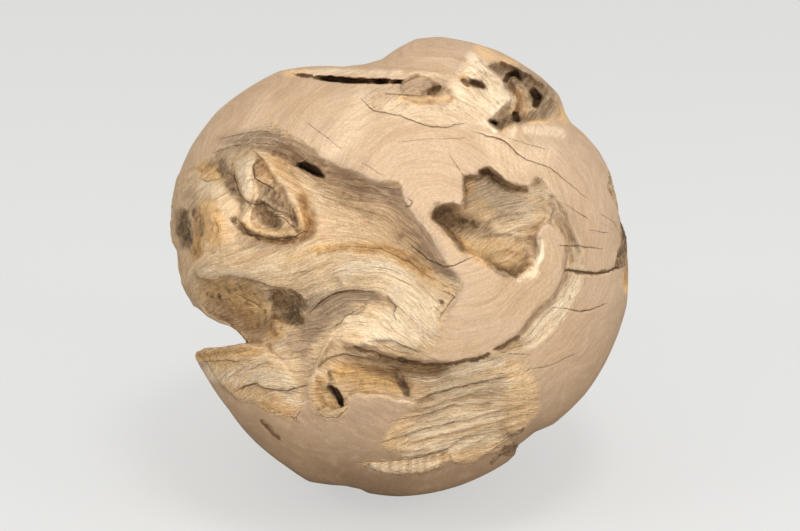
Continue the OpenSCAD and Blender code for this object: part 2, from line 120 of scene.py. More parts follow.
def nearest_on(a, b, p, q):
    """Distance from each place to one stretch of a line, and the share along it."""
    along = np.subtract(q[:2], p[:2])
    share = np.clip(((a - p[0]) * along[0] + (b - p[1]) * along[1]) / (along @ along), 0, 1)
    gap = np.hypot(a - p[0] - share * along[0], b - p[1] - share * along[1])
    return gap, share


def in_outline(a, b, outline):
    """Depth inside a closed outline, as a share of its edge's own width; negative outside."""
    reach = max(p[2] for p in outline)
    cols = np.array(outline)
    near = (
        (a > cols[:, 0].min() - reach) & (a < cols[:, 0].max() + reach)
        & (b > cols[:, 1].min() - reach) & (b < cols[:, 1].max() + reach)
    )
    found = np.full(a.shape, -9.0)
    if not near.any():
        return found
    x, y = a[near], b[near]
    depth = np.full(x.shape, 1e9)
    inside = np.zeros(x.shape, bool)
    for p, q in zip(outline, outline[1:] + outline[:1]):
        gap, share = nearest_on(x, y, p, q)
        depth = np.minimum(depth, gap / (p[2] + share * (q[2] - p[2])))
        if p[1] != q[1]:
            crosses = (p[1] > y) != (q[1] > y)
            inside ^= crosses & (x < (q[0] - p[0]) * (y - p[1]) / (q[1] - p[1]) + p[0])
    found[near] = np.where(inside, depth, -depth)
    return found


def step_in(a, b, outline):
    """0 outside an outline to 1 on its floor: sharp at the lip and rounded at the foot."""
    overhang = 0.12
    t = np.clip(in_outline(a, b, outline) + overhang, 0, 1)
    return t * (2 - t) * smooth(t * 4)


def follow(a, b, line, reach):
    """Which points lie near a line, and for each its distance from it, its side (1 to the
    left of its direction), its share along and the line's half width there."""
    cols = np.array([p[:2] for p in line], float)
    low, high = cols.min(0) - reach, cols.max(0) + reach
    index = np.flatnonzero((a > low[0]) & (a < high[0]) & (b > low[1]) & (b < high[1]))
    x, y = a[index], b[index]
    near = np.full(len(index), 1e9)
    side, share_along, wide = np.ones(len(index)), np.zeros(len(index)), np.ones(len(index))
    lengths = np.hypot(*(cols[1:] - cols[:-1]).T)
    before = np.r_[0, np.cumsum(lengths)]
    for k, (p, q) in enumerate(zip(line, line[1:])):
        gap, share = nearest_on(x, y, p, q)
        closer = gap < near
        near = np.where(closer, gap, near)
        turn = (q[0] - p[0]) * (y - p[1]) - (q[1] - p[1]) * (x - p[0])
        side = np.where(closer, np.sign(turn), side)
        share_along = np.where(closer, (before[k] + share * lengths[k]) / before[-1], share_along)
        if len(p) > 2:
            wide = np.where(closer, p[2] + share * (q[2] - p[2]), wide)
    return index, near, side, share_along, wide


def on_line(a, b, line):
    """1 on a line, falling to 0 at its own half width."""
    index, near, _, _, wide = follow(a, b, line, max(p[2] for p in line))
    found = np.zeros_like(a)
    found[index] = smooth(1 - near / wide)
    return found


def in_cut(a, b, line):
    """1 in a hole or slit, with steep walls at its own half width."""
    index, near, _, _, wide = follow(a, b, line, 1.3 * max(p[2] for p in line))
    found = np.zeros_like(a)
    found[index] = smooth((1.15 - near / wide) / 0.45)
    return found


def fading_ends(share_along):
    """1 along a line, falling to 0 over the last stretch at both ends."""
    stretch = 0.15
    return smooth(share_along / stretch) * smooth((1 - share_along) / stretch)


def on_ledge(a, b, line, reach):
    """1 along the left-hand side of a line, falling off over the reach, and 0 past it."""
    index, near, side, share_along, _ = follow(a, b, line, 3 * reach)
    found = np.zeros_like(a)
    crisp = smooth((side * near + 0.8) / 1.6)
    fall = np.exp(-np.maximum(side * near, 0) / reach)
    found[index] = crisp * fall * fading_ends(share_along)
    return found


def surface_through(spots):
    """A smooth surface through given heights at a few places."""
    at = np.array([s[:2] for s in spots], float)
    height = np.array([s[2] for s in spots], float)
    slack = 40.0
    bend = lambda d2: 0.5 * d2 * np.log(d2 + 1e-9)
    d2 = ((at[:, None] - at[None]) ** 2).sum(2)
    n = len(at)
    left = np.zeros((n + 3, n + 3))
    left[:n, :n] = bend(d2) + slack * np.eye(n)
    left[:n, n] = left[n, :n] = 1
    left[:n, n + 1:] = at
    left[n + 1:, :n] = at.T
    pull = np.linalg.solve(left, np.r_[height, 0, 0, 0])

    def level(a, b):
        total = pull[n] + pull[n + 1] * a + pull[n + 2] * b
        for (x, y), strength in zip(at, pull):
            total = total + strength * bend((a - x) ** 2 + (b - y) ** 2)
        return total

    return level


# Hollows where the sanded skin is lost: outline of right, up and width of the edge, and
# depths at a few places on the worn floor
upper_front = [
    (-275, 92, 8), (-232, 107, 5), (-214, 116, 5), (-198, 129, 7), (-182, 140, 9), (-165, 148, 9),
    (-150, 154, 6), (-140, 155, 3), (-130, 151, 3), (-118, 145, 3), (-108, 138, 3), (-98, 129, 3),
    (-88, 120, 3), (-78, 114, 7), (-66, 110, 10), (-50, 104, 11), (-36, 97, 9), (-24, 92, 4),
    (-18, 93, 3), (-10, 95, 3), (-2, 92, 3), (2, 86, 3), (2, 79, 3), (5, 70, 3), (9, 63, 3),
    (16, 54, 3), (25, 44, 3), (34, 31, 3), (44, 14, 3), (52, 2, 3), (60, -8, 4), (68, -16, 5),
    (66, -30, 5), (58, -46, 8), (50, -60, 12), (46, -76, 14), (36, -97, 12), (10, -103, 6),
    (-20, -98, 5), (-50, -88, 5), (-78, -82, 5), (-88, -104, 5), (-97, -126, 5), (-112, -132, 12),
    (-135, -112, 14), (-150, -92, 10), (-168, -88, 5), (-190, -64, 5), (-213, -54, 5),
    (-230, -34, 5), (-275, -30, 8),
]
upper_depths = [
    (-256, 60, 2), (-240, 96, 6), (-228, 100, 8), (-210, 103, 15), (-196, 106, 22), (-188, 98, 24),
    (-186, 84, 20), (-178, 68, 14), (-215, 85, 7), (-200, 76, 6), (-222, 68, 6), (-206, 52, 4),
    (-190, 48, 9), (-228, 45, 9), (-240, 40, 8), (-235, 20, 6), (-212, 30, 6), (-190, 24, 8),
    (-196, 122, 9), (-180, 130, 10), (-160, 142, 8), (-160, 133, 12), (-140, 138, 14),
    (-140, 149, 6), (-128, 146, 7), (-115, 140, 8), (-125, 130, 18), (-112, 114, 33),
    (-100, 125, 12), (-86, 113, 12), (-88, 99, 36), (-70, 102, 16), (-60, 84, 38), (-48, 97, 12),
    (-36, 70, 40), (-28, 87, 14), (-10, 89, 12), (-12, 56, 40), (0, 76, 14), (6, 58, 20),
    (6, 34, 38), (20, 40, 14), (22, 12, 30), (36, 10, 16), (38, -8, 18), (54, -8, 6),
    (-112, 84, 15), (-95, 66, 20), (-84, 80, 31), (-72, 52, 26), (-50, 50, 31), (-30, 40, 33),
    (-10, 20, 27), (14, -2, 15), (-90, 36, 17), (-60, 34, 18), (-115, 20, 12), (-140, 15, 12),
    (-165, 20, 12), (-185, 10, 7), (-210, 10, 5), (-225, 3, 2), (-200, -3, 2), (-170, -6, 2),
    (-140, -8, 3), (-110, 2, 4), (-85, 12, 5), (-60, 20, 6), (-35, 16, 6), (-10, 8, 6), (10, -4, 6),
    (30, -18, 5), (50, -30, 3), (-80, -10, 9), (-50, -8, 8), (-20, -10, 7), (0, -30, 4),
    (25, -45, 2), (45, -60, 1), (10, -70, 0), (-20, -75, 0), (20, -90, 2), (-10, -90, 2),
    (-45, -72, 3), (-60, -78, 4), (-90, -30, 13), (-60, -36, 14), (-30, -38, 8), (-85, -50, 21),
    (-60, -50, 14), (-35, -52, 6), (-95, -75, 19), (-75, -66, 12), (-105, -95, 13), (-85, -92, 8),
    (-95, -115, 6), (-120, -90, 15), (-215, -14, 3), (-190, -14, 4), (-160, -20, 7),
    (-215, -30, 11), (-190, -30, 14), (-165, -32, 18), (-145, -34, 23), (-215, -46, 19),
    (-195, -48, 22), (-170, -52, 28), (-150, -55, 30), (-195, -62, 30), (-175, -68, 36),
    (-158, -74, 35), (-165, -84, 35), (-145, -80, 25), (-125, -35, 27), (-125, -50, 30),
    (-112, -62, 25), (-110, -40, 21), (-137, -68, 20), (-130, -84, 15),
]
beak_face = [
    (-165, -87, 4), (-140, -84, 8), (-118, -96, 14), (-104, -126, 10), (-104, -142, 6),
    (-108, -158, 4), (-116, -167, 4), (-126, -169, 4), (-145, -160, 4), (-160, -150, 4),
    (-180, -148, 4), (-195, -133, 4), (-210, -113, 4), (-218, -102, 4), (-224, -94, 4),
    (-260, -90, 4), (-224, -84, 6), (-200, -78, 6),
]
beak_depths = [
    (-150, -98, 7), (-180, -100, 5), (-210, -100, 3), (-170, -120, 4), (-200, -115, 3),
    (-140, -112, 7), (-118, -120, 9), (-112, -104, 12), (-118, -140, 7), (-150, -128, 3),
    (-148, -145, 6), (-125, -155, 5), (-175, -142, 4), (-190, -130, 3),
]
lower_hollow = [
    (-101, -132, 4), (-93, -118, 3), (-88, -104, 3), (-83, -90, 3), (-78, -82, 3), (-65, -83, 3),
    (-50, -87, 3), (-35, -91, 3), (-25, -96, 3), (-10, -99, 3), (10, -102, 3), (22, -106, 3),
    (45, -107, 3), (60, -106, 3), (80, -101, 3), (94, -98, 4), (112, -96, 8), (130, -99, 12),
    (146, -112, 16), (156, -135, 16), (156, -158, 14), (146, -173, 12), (134, -186, 10),
    (122, -195, 8), (104, -206, 8), (82, -217, 8), (62, -219, 7), (50, -214, 6), (20, -212, 10),
    (0, -212, 12), (-22, -197, 12), (-14, -182, 10), (0, -168, 8), (12, -158, 6), (20, -151, 4),
    (8, -149, 3), (-4, -149, 3), (-10, -145, 3), (-22, -143, 3), (-36, -144, 3), (-48, -140, 3),
    (-58, -146, 4), (-56, -156, 4), (-66, -166, 4), (-80, -169, 4), (-93, -162, 4), (-101, -148, 4),
]
lower_depths = [
    (-60, -113, 24), (-30, -115, 28), (0, -119, 30), (-60, -134, 12), (-30, -136, 12),
    (0, -139, 14), (10, -128, 22), (-85, -120, 8), (-92, -138, 5), (-76, -146, 9), (-62, -160, 6),
    (-45, -98, 24), (-70, -92, 11), (-80, -104, 14), (-20, -104, 34), (20, -112, 36),
    (38, -113, 30), (34, -128, 17), (56, -112, 10), (66, -122, 3), (84, -107, 4), (104, -102, 3),
    (60, -136, 6), (100, -120, 0.5), (125, -115, 4), (140, -130, 3), (30, -147, 13), (80, -147, 9),
    (125, -145, 6), (15, -165, 12), (60, -165, 11), (110, -160, 8), (-10, -187, 7), (40, -184, 9),
    (90, -177, 8), (130, -167, 5), (10, -205, 5), (50, -203, 6), (90, -195, 6), (120, -190, 6),
    (80, -212, 3), (0, -150, 9), (145, -160, 3),
]
channel = [
    (150, 96, 5), (162, 86, 5), (171, 76, 5), (183, 60, 4), (190, 40, 4), (198, 20, 4), (204, 0, 4),
    (203, -16, 4), (195, -29, 5), (188, -45, 6), (178, -62, 7), (164, -76, 8), (150, -87, 9),
    (134, -94, 8), (112, -97, 6), (106, -92, 2), (118, -85, 2), (130, -77, 2), (140, -62, 2),
    (152, -46, 2), (166, -37, 2), (176, -21, 2), (182, -8, 2), (184, 9, 3), (181, 26, 3),
    (174, 38, 3), (164, 46, 3), (155, 43, 5), (152, 62, 8), (148, 78, 8),
]
channel_depths = [
    (112, -91, 7), (125, -83, 10), (145, -62, 13), (158, -45, 14), (172, -28, 15), (183, -8, 15),
    (188, 12, 15), (184, 28, 15), (174, 44, 13), (164, 56, 12), (150, -86, 4), (166, -70, 5),
    (180, -52, 5), (192, -30, 5), (200, -10, 5), (200, 5, 6), (194, 24, 7), (186, 44, 8),
    (176, 62, 9), (162, 84, 8), (152, 92, 6), (158, 70, 14),
]
cave = [
    (34, 52, 4), (36, 59, 4), (43, 66, 4), (50, 68, 3), (58, 70, 3), (66, 66, 3), (69, 72, 3),
    (69, 90, 3), (70, 98, 3), (78, 99, 3), (88, 99, 3), (89, 106, 3), (92, 109, 3), (99, 109, 3),
    (106, 102, 3), (113, 95, 3), (121, 89, 4), (131, 86, 4), (141, 87, 4), (147, 93, 6),
    (150, 100, 7), (164, 88, 14), (174, 64, 16), (166, 48, 8), (155, 42, 3), (150, 33, 6),
    (152, 24, 11), (152, 8, 13), (148, -8, 13), (140, -16, 9), (128, -15, 5), (115, -8, 6),
    (105, -3, 7), (95, 3, 8), (84, 10, 9), (72, 16, 8), (66, 16, 7), (60, 27, 7), (54, 35, 7),
    (48, 40, 6), (40, 46, 5),
]
cave_depths = [
    (44, 58, 44), (58, 46, 42), (80, 88, 34), (80, 62, 46), (95, 100, 36), (102, 66, 46),
    (122, 78, 32), (142, 78, 21), (158, 70, 16), (100, 34, 42), (76, 28, 30), (90, 14, 24),
    (110, 6, 24), (128, -4, 20), (122, 24, 36), (142, 44, 28), (122, 50, 42), (140, 16, 28),
    (62, 62, 46),
]
top_cave = [
    (94, 220, 2.5), (100, 224, 3), (112, 225, 3), (124, 222, 3), (134, 216, 3), (146, 208, 3),
    (158, 200, 3), (168, 190, 3), (173, 181, 3), (176, 170, 4), (172, 161, 5), (160, 159, 4),
    (150, 159, 3), (140, 158, 3), (125, 157, 3), (116, 151, 3), (112, 145, 3), (104, 151, 2.5),
    (96, 160, 2.5), (103, 163, 2.5), (108, 168, 2.5), (114, 175, 2.5), (122, 178, 2.5),
    (124, 184, 2.5), (118, 195, 2.5), (112, 205, 2.5), (105, 213, 2.5),
]
top_cave_depths = [
    (102, 218, 16), (115, 216, 24), (126, 208, 40), (120, 203, 34), (140, 205, 26), (150, 198, 26),
    (162, 186, 20), (168, 174, 12), (150, 184, 46), (140, 195, 34), (130, 180, 32), (132, 195, 32),
    (128, 170, 26), (138, 165, 22), (150, 168, 22), (160, 168, 14), (118, 170, 22), (125, 163, 32),
    (108, 160, 24), (102, 160, 20), (110, 150, 14), (118, 158, 18),
]
crown = [
    (-42, 184, 5), (-30, 196, 12), (-12, 198, 12), (0, 202, 3), (8, 208, 2), (20, 212, 2),
    (30, 213, 3), (45, 209, 6), (60, 214, 14), (66, 226, 18), (80, 233, 16), (90, 228, 6),
    (94, 220, 3), (105, 213, 3), (112, 205, 3), (118, 195, 3), (124, 184, 3), (122, 178, 3),
    (114, 175, 3), (108, 168, 3), (102, 163, 3), (96, 160, 3), (104, 151, 3), (112, 145, 3),
    (100, 146, 4), (84, 150, 4), (72, 157, 6), (60, 153, 5), (33, 153, 5), (15, 158, 5),
    (0, 164, 5), (-22, 168, 5), (-31, 172, 5), (-40, 182, 5),
]
crown_depths = [
    (-30, 186, 4), (-10, 191, 5), (10, 198, 13), (22, 194, 18), (38, 193, 21), (50, 187, 12),
    (15, 182, 9), (10, 170, 4), (40, 165, 4), (60, 165, 7), (60, 205, 4), (75, 204, 12),
    (85, 200, 16), (75, 190, 3), (92, 190, 0), (105, 195, 0), (112, 185, 0), (100, 175, 4),
    (85, 172, 3), (95, 208, 1), (80, 222, 2), (108, 178, 4), (95, 155, 1), (30, 208, 5),
    (65, 178, 11),
]
scar = [
    (-44, -217, 3), (-20, -214, 3), (0, -213, 3), (25, -210, 3), (40, -207, 3), (54, -200, 3),
    (56, -212, 4), (48, -221, 4), (30, -228, 4), (0, -231, 4), (-22, -228, 4),
]
scar_depths = [(10, -217, 9), (10, -226, 4), (45, -210, 8), (-26, -220, 6), (40, -220, 4)]
front_hollows = [
    (upper_front, upper_depths), (beak_face, beak_depths), (lower_hollow, lower_depths),
    (channel, channel_depths), (cave, cave_depths), (top_cave, top_cave_depths),
    (crown, crown_depths), (scar, scar_depths),
]

# Forms within the hollows: outline, and how much deeper it is (below 0, how far it stands up)
front_forms = [
    ([(-160, 129, 6), (-172, 122, 7), (-182, 112, 6), (-184, 100, 5), (-180, 86, 5), (-172, 71, 5),
      (-176, 60, 6), (-181, 50, 5), (-172, 40, 5), (-158, 31, 4), (-138, 28, 4), (-112, 28, 4),
      (-100, 36, 8), (-96, 52, 20), (-100, 70, 26), (-112, 92, 28), (-130, 112, 24),
      (-146, 126, 10)], -16),
    ([(-158, 122, 4), (-149, 114, 4), (-139, 100, 4), (-130, 85, 4), (-121, 68, 4), (-114, 52, 4),
      (-116, 40, 5), (-138, 37, 5), (-158, 41, 5), (-168, 52, 6), (-162, 66, 5), (-156, 78, 4),
      (-160, 92, 4), (-163, 108, 4)], 10),
    ([(-142, -30, 5), (-134, -24, 5), (-120, -30, 5), (-106, -36, 5), (-101, -50, 6),
      (-106, -64, 6), (-124, -68, 6), (-142, -58, 5)], 8),
    ([(0, 202, 2), (8, 208, 2), (20, 211, 2), (32, 207, 3), (45, 198, 3), (58, 194, 3),
      (62, 183, 4), (54, 179, 4), (40, 184, 3), (20, 186, 2), (0, 187, 2)], 5),
    ([(-222, 96, 3), (-222, 106, 4), (-210, 114, 5), (-196, 117, 4), (-188, 110, 4), (-190, 94, 5),
      (-206, 90, 5)], 5),
]

# Rounded ridges (above 0) and furrows (below 0) in mm: half width at each point, and height
front_lines = [
    ([(-156, 124, 5), (-147, 116, 6), (-137, 102, 7), (-128, 87, 7), (-119, 71, 7), (-112, 55, 7),
      (-105, 42, 7)], 4),
    ([(-171, 114, 9), (-169, 98, 10), (-165, 84, 8)], 5),
    ([(-185, 112, 4), (-185, 98, 4), (-179, 82, 4), (-173, 70, 4), (-166, 64, 3)], -6),
    ([(-184, 52, 4), (-174, 39, 5), (-159, 29, 5), (-135, 26, 5), (-110, 27, 5), (-98, 36, 5)], -5),
    ([(-150, 62, 9), (-146, 50, 10), (-136, 46, 8)], -6),
    ([(-214, 62, 9), (-206, 44, 12), (-196, 30, 10)], 4),
    ([(-240, 54, 6), (-238, 40, 8), (-234, 26, 6)], -7),
    ([(-220, 62, 5), (-218, 44, 5), (-216, 28, 5)], -3), ([(-188, 22, 6), (-180, 21, 6)], 3),
    ([(-138, -62, 8), (-136, -72, 8)], 7),
    ([(-80, -84, 5), (-88, -104, 5), (-93, -118, 5), (-100, -130, 4)], 3),
    ([(-220, -98, 6), (-190, -93, 7), (-150, -89, 8)], 2),
    ([(126, 204, 4), (131, 196, 6), (136, 184, 7), (137, 172, 7), (132, 166, 6)], 22),
    ([(102, 158, 4), (112, 150, 4)], -6),
    ([(78, 226, 8), (92, 212, 8), (106, 198, 9), (116, 184, 6)], 4),
    ([(66, 186, 4), (70, 172, 4), (64, 158, 3)], 2),
    ([(104, 96, 6), (120, 87, 6), (138, 83, 5)], -9), ([(-88, -124, 8), (-84, -132, 7)], 3),
    ([(-82, -146, 8), (-78, -152, 7)], 5), ([(108, -190, 4), (120, -185, 5), (138, -179, 4)], -5),
    ([(118, -205, 6), (124, -202, 6)], 4), ([(-60, 96, 6), (-48, 84, 5), (-42, 74, 4)], -3),
    ([(66, 30, 5), (70, 18, 4)], -4), ([(2, 92, 5), (8, 72, 5), (14, 66, 5)], 1.5),
    ([(242, 68, 4), (245, 40, 4), (246, 20, 5), (241, 4, 5)], -3),
    ([(186, 60, 4), (196, 34, 4), (206, 6, 4)], 1.5),
]

# Layers of wood that end in a sharp edge: the side to the left of the line's direction
# stands up by so many mm, over so many mm
front_ledges = [
    ([(-232, 2), (-222, -13), (-205, -15), (-190, -11), (-175, -13), (-160, -17), (-150, -20),
      (-135, -24), (-116, -24)], 8, 15),
    ([(-208, 122), (-188, 130), (-165, 133), (-145, 132), (-126, 126)], 2.6, 5),
    ([(-198, 132), (-176, 138), (-155, 140), (-136, 137), (-120, 131)], 2.4, 5),
    ([(-182, 142), (-160, 146), (-144, 146), (-132, 141)], 2, 5),
    ([(-103, -54), (-85, -38), (-70, -30), (-50, -27), (-30, -29), (-15, -33), (-4, -45), (-7, -52),
      (-4, -62)], 4, 12),
    ([(-34, -41), (-40, -50), (-50, -55), (-60, -55), (-66, -60), (-60, -63), (-76, -70)], 3, 9),
    ([(-44, -43), (-52, -49), (-72, -53)], 2, 6), ([(-72, -8), (-64, -18), (-62, -26)], 2, 6),
    ([(-32, -83), (-8, -83), (4, -89), (24, -95)], 2.5, 7),
    ([(-20, -89), (0, -92), (20, -99)], 2, 5), ([(-64, -90), (-40, -88), (-18, -92)], 3, 4),
    ([(-92, -112), (-78, -102), (-62, -98), (-40, -101), (-22, -100)], 3, 6),
    ([(10, -151), (35, -141), (60, -134), (90, -127), (126, -122)], 5, 9),
    ([(0, -161), (30, -155), (50, -150), (75, -142), (118, -142)], 5, 9),
    ([(2, -169), (30, -163), (60, -153), (85, -151), (110, -150)], 3.4, 7),
    ([(-18, -195), (20, -181), (60, -172), (110, -160), (148, -150)], 5, 10),
    ([(-5, -197), (30, -190), (70, -180), (110, -172), (142, -160)], 3.4, 7),
    ([(-12, -212), (20, -209), (50, -201), (72, -187), (100, -184), (140, -171)], 5, 8),
    ([(85, -216), (105, -200), (125, -188), (140, -176)], 5, 7),
    ([(60, -208), (80, -198), (100, -193)], 2, 6), ([(40, -126), (70, -121), (104, -113)], 2, 6),
    ([(16, -176), (44, -167), (80, -164)], 2.5, 6),
    ([(30, -197), (64, -188), (96, -179), (124, -172)], 2.5, 6),
    ([(-8, -205), (16, -203), (36, -199)], 2.5, 6), ([(60, -148), (90, -136), (124, -133)], 2, 6),
    ([(70, -205), (92, -190), (116, -181)], 2.5, 5),
    ([(-60, -158), (-68, -165), (-80, -167), (-92, -160), (-97, -150)], 2, 5),
    ([(-62, -154), (-69, -159), (-79, -161), (-88, -156)], 2, 3),
    ([(-182, -140), (-170, -132), (-158, -130), (-150, -135), (-125, -138), (-104, -132)], 3, 8),
    ([(-216, -106), (-190, -104), (-178, -106), (-160, -100)], 1.2, 5),
    ([(-176, -116), (-164, -109), (-140, -104)], 1.4, 5),
    ([(-40, 183), (-30, 171), (-22, 169), (0, 165), (15, 159), (33, 153), (50, 152), (62, 154),
      (72, 158)], 1.5, 9),
    ([(36, 178), (22, 177), (10, 181), (0, 187)], 2, 4), ([(28, 182), (16, 184), (2, 189)], 2, 3),
    ([(82, 147), (95, 143), (109, 140), (120, 133), (127, 125), (140, 116), (165, 108),
      (190, 88)], 1.2, 8),
    ([(70, 140), (40, 138), (12, 137), (0, 131), (-9, 118), (-12, 104)], -1.5, 12),
    ([(50, 208), (66, 214), (76, 224)], 1.5, 6),
    ([(-16, 218), (6, 217), (30, 214.5), (50, 210)], -7, 14),
    ([(154, 66), (172, 54), (184, 30)], 1.5, 5), ([(150, 78), (172, 66), (188, 38)], 1.5, 5),
    ([(90, 46), (112, 58), (140, 60)], 2, 8), ([(84, 30), (110, 36), (136, 32)], 3, 8),
    ([(96, 12), (118, 18), (134, 12)], 2, 6), ([(44, -56), (60, -34), (50, -29)], 1, 5),
    ([(100, 0), (118, 5), (134, -4)], 1.6, 5),
]

# Holes and slits that show black: half width at each point, and depth
dark_cuts = [
    ([(-113, 210.5, 0.8), (-95, 207.5, 2), (-88, 206.5, 2.8), (-70, 205, 3.2), (-58, 203.8, 3.2),
      (-49, 203.5, 2.7), (-20, 203, 2.2), (1, 202.5, 2)], 40),
    ([(-113, 111.5, 1.5), (-103, 109.5, 5), (-94, 104, 5.5), (-85, 98, 2.2)], 30),
    ([(88, 103, 1.5), (95, 104, 3), (101, 100, 2)], 10),
    ([(116, 204, 2.6), (120, 210, 3.2), (127, 212, 3.6), (132, 206, 2.6)], 18),
    ([(147, 191, 4.5), (152, 184, 5.2), (148, 176, 3)], 18),
    ([(126, 167, 3.6), (130, 160, 3.2)], 12), ([(98, 159, 2), (106, 156, 2.6)], 14),
    ([(80, 202, 3.2), (86, 200, 3.8), (91, 196.5, 2)], 14), ([(70, 204, 3), (74, 200, 3)], 8),
    ([(31, 192, 2), (38, 193.5, 2.8), (45, 196, 2)], 8), ([(30, 188, 1.8), (37, 188.5, 1.8)], 6),
    ([(-78, -132, 2.4), (-72, -138, 4.2), (-66, -147, 4), (-63, -156, 2)], 24),
    ([(-152, -171, 1.4), (-144, -180, 2.2), (-133, -191, 1.4)], 14),
    ([(-50, -90, 0.5), (-34, -94, 0.8), (-12, -101, 1.3), (8, -105, 1.9), (26, -108, 2),
      (44, -108.5, 1.6), (62, -107.5, 1.2), (80, -103, 1.1), (98, -98.5, 0.9)], 11),
    ([(183, -5, 0.9), (200, -7, 1.2), (215, -9, 1.2), (228, -7, 0.9), (240, -2, 0.7)], 8),
    ([(104, -92, 1), (112, -89, 1.6), (130, -78, 1)], 6),
]

# The sides that the front doesn't show, each with places as seen from its own side
side_hollows = {
    "back": [
        ([(-176, 40, 5), (-150, 78, 4), (-104, 84, 4), (-80, 112, 4), (-30, 124, 4), (-8, 96, 4),
          (30, 84, 4), (58, 44, 5), (104, 20, 6), (92, -14, 8), (40, -6, 9), (0, 22, 9),
          (-60, 26, 9), (-104, -4, 8), (-150, 8, 7)],
         [(-160, 40, 46), (-100, 50, 64), (-40, 76, 64), (20, 46, 56), (90, 4, 40)], 36),
        ([(34, -70, 5), (60, -62, 4), (84, -44, 4), (130, -58, 4), (172, -96, 5), (150, -130, 6),
          (104, -128, 8), (80, -150, 7), (50, -136, 6), (56, -104, 5)],
         [(50, -84, 44), (100, -90, 60), (150, -104, 40)], 28),
    ],
    "left": [
        ([(-200, -62, 6), (-152, -36, 6), (-96, -18, 6), (-40, -34, 6), (14, -56, 6), (34, -78, 6),
          (14, -98, 6), (-44, -116, 8), (-92, -134, 8), (-150, -132, 8), (-196, -104, 8)],
         [(-176, -88, 56), (-110, -78, 66), (-50, -78, 58), (16, -78, 40)], 60),
    ],
    "right": [
        ([(-96, 92, 5), (-40, 116, 4), (8, 96, 4), (34, 48, 5), (76, 20, 6), (64, -18, 7),
          (22, -6, 7), (-14, 34, 7), (-66, 48, 7)],
         [(-80, 74, 36), (-30, 80, 46), (14, 46, 40), (60, 2, 34)], 24),
    ],
    "top": [
        ([(-120, 34, 5), (-60, 66, 4), (0, 44, 4), (64, 78, 4), (108, 66, 5), (70, 36, 6),
          (14, 6, 7), (-50, 12, 6)],
         [(-106, 32, 30), (-50, 38, 40), (10, 24, 36), (90, 66, 28)], 20),
    ],
}

# Each side's right, up and towards the eye, as they are seen from the front
sides = {
    "front": np.array([(1, 0, 0), (0, 1, 0), (0, 0, 1)], float),
    "back": np.array([(-1, 0, 0), (0, 1, 0), (0, 0, -1)], float),
    "left": np.array([(0, 0, 1), (0, 1, 0), (-1, 0, 0)], float),
    "right": np.array([(0, 0, -1), (0, 1, 0), (1, 0, 0)], float),
    "top": np.array([(1, 0, 0), (0, 0, -1), (0, 1, 0)], float),
}


def turned(p, side):
    """Points as right, up and towards the eye for someone who looks at a side."""
    return p @ sides[side].T


def turned_back(p, side):
    """The same points again as they are seen from the front."""
    return p @ sides[side]


def places(q):
    """Where lines of sight from the eye through the points meet the plane of the rim."""
    scale = eye_mm / (eye_mm - q[:, 2])
    return q[:, 0] * scale, q[:, 1] * scale


def waver(a, b, amount, size, seed):
    """Shifts places a little, so that the listed outlines run as unevenly as wood breaks."""
    return (
        a + amount * rough(a / size, b / size, 0 * a, seed, 2),
        b + amount * rough(a / size, b / size, 0 * a + 7, seed, 2),
    )


def wear(a, b, side):
    """How deep the wood is worn at places of one side, and how far it has lost its sanded skin."""
    proud_mm = 4
    a, b = waver(a, b, 2.2, 11, 3)
    deep = np.zeros_like(a)
    lost = np.zeros_like(a)
    if side != "front":
        for outline, trough, depth in side_hollows[side]:
            edge = step_in(a, b, outline)
            deep = np.maximum(deep, edge * depth * on_line(a, b, trough))
            lost = np.maximum(lost, edge)
        return deep, lost
    for outline, depths in front_hollows:
        edge = step_in(a, b, outline)
        some = edge > 0
        floor = np.zeros_like(a)
        floor[some] = surface_through(depths)(a[some], b[some])
        deep = np.maximum(deep, edge * np.maximum(floor, 0))
        lost = np.maximum(lost, edge)
    for outline, more in front_forms:
        deep = deep + more * step_in(a, b, outline)
    for line, height in front_lines:
        deep = deep - height * on_line(a, b, line)
    for line, height, reach in front_ledges:
        deep = deep - height * on_ledge(a, b, line, reach)
    deep = np.maximum(deep, -proud_mm)
    for line, depth in dark_cuts:
        deep = deep + depth * in_cut(a, b, line)
    return deep, lost


deepest_share = 0.86


def worn_points(p):
    """Moves the skin's points away from each side's eye by the wear of that side, but never
    past a share of the way to the middle of the ball."""
    for side in sides:
        q = turned(p, side)
        a, b = places(q)
        deep, _ = wear(a, b, side)
        deep = np.where(q[:, 2] > 0, np.minimum(deep, q[:, 2] * deepest_share), 0)
        sight = q - np.array([0, 0, eye_mm])
        sight /= np.linalg.norm(sight, axis=1)[:, None]
        p = turned_back(q + sight * deep[:, None], side)
    return p


def sanded_points(n):
    """The ball before it is worn: the outline at the rim, and soft swells all over."""
    angle = np.degrees(np.arctan2(n[:, 1], n[:, 0])) % 360
    at_rim = np.hypot(n[:, 0], n[:, 1]) ** 5
    radius = np.interp(angle, [r[0] for r in rim], [r[1] for r in rim])
    swells = np.sin(np.radians(300 * n[:, 0] + 40)) * np.cos(np.radians(260 * n[:, 1]))
    swells = swells + np.sin(np.radians(230 * n[:, 2] + 200 * n[:, 0])) * (1 - at_rim)
    return n * (ball_mm + (radius - ball_mm) * at_rim + 2.5 * swells * (1 - abs(n[:, 1])))[:, None]


def read_points(mesh):
    co = np.empty(len(mesh.vertices) * 3)
    mesh.vertices.foreach_get("co", co)
    return co.reshape(-1, 3)


def write_points(mesh, co):
    mesh.vertices.foreach_set("co", np.ascontiguousarray(co, np.float32).ravel())
    mesh.update()


def to_frame(p):
    """From right, up and towards the eye in mm to the row's frame in metres."""
    s, c = math.sin(front_tilt), math.cos(front_tilt)
    x, y, z = p[:, 0], p[:, 1], p[:, 2]
    return np.stack((x, y * s - z * c, y * c + z * s + rest_mm), 1) / 1000


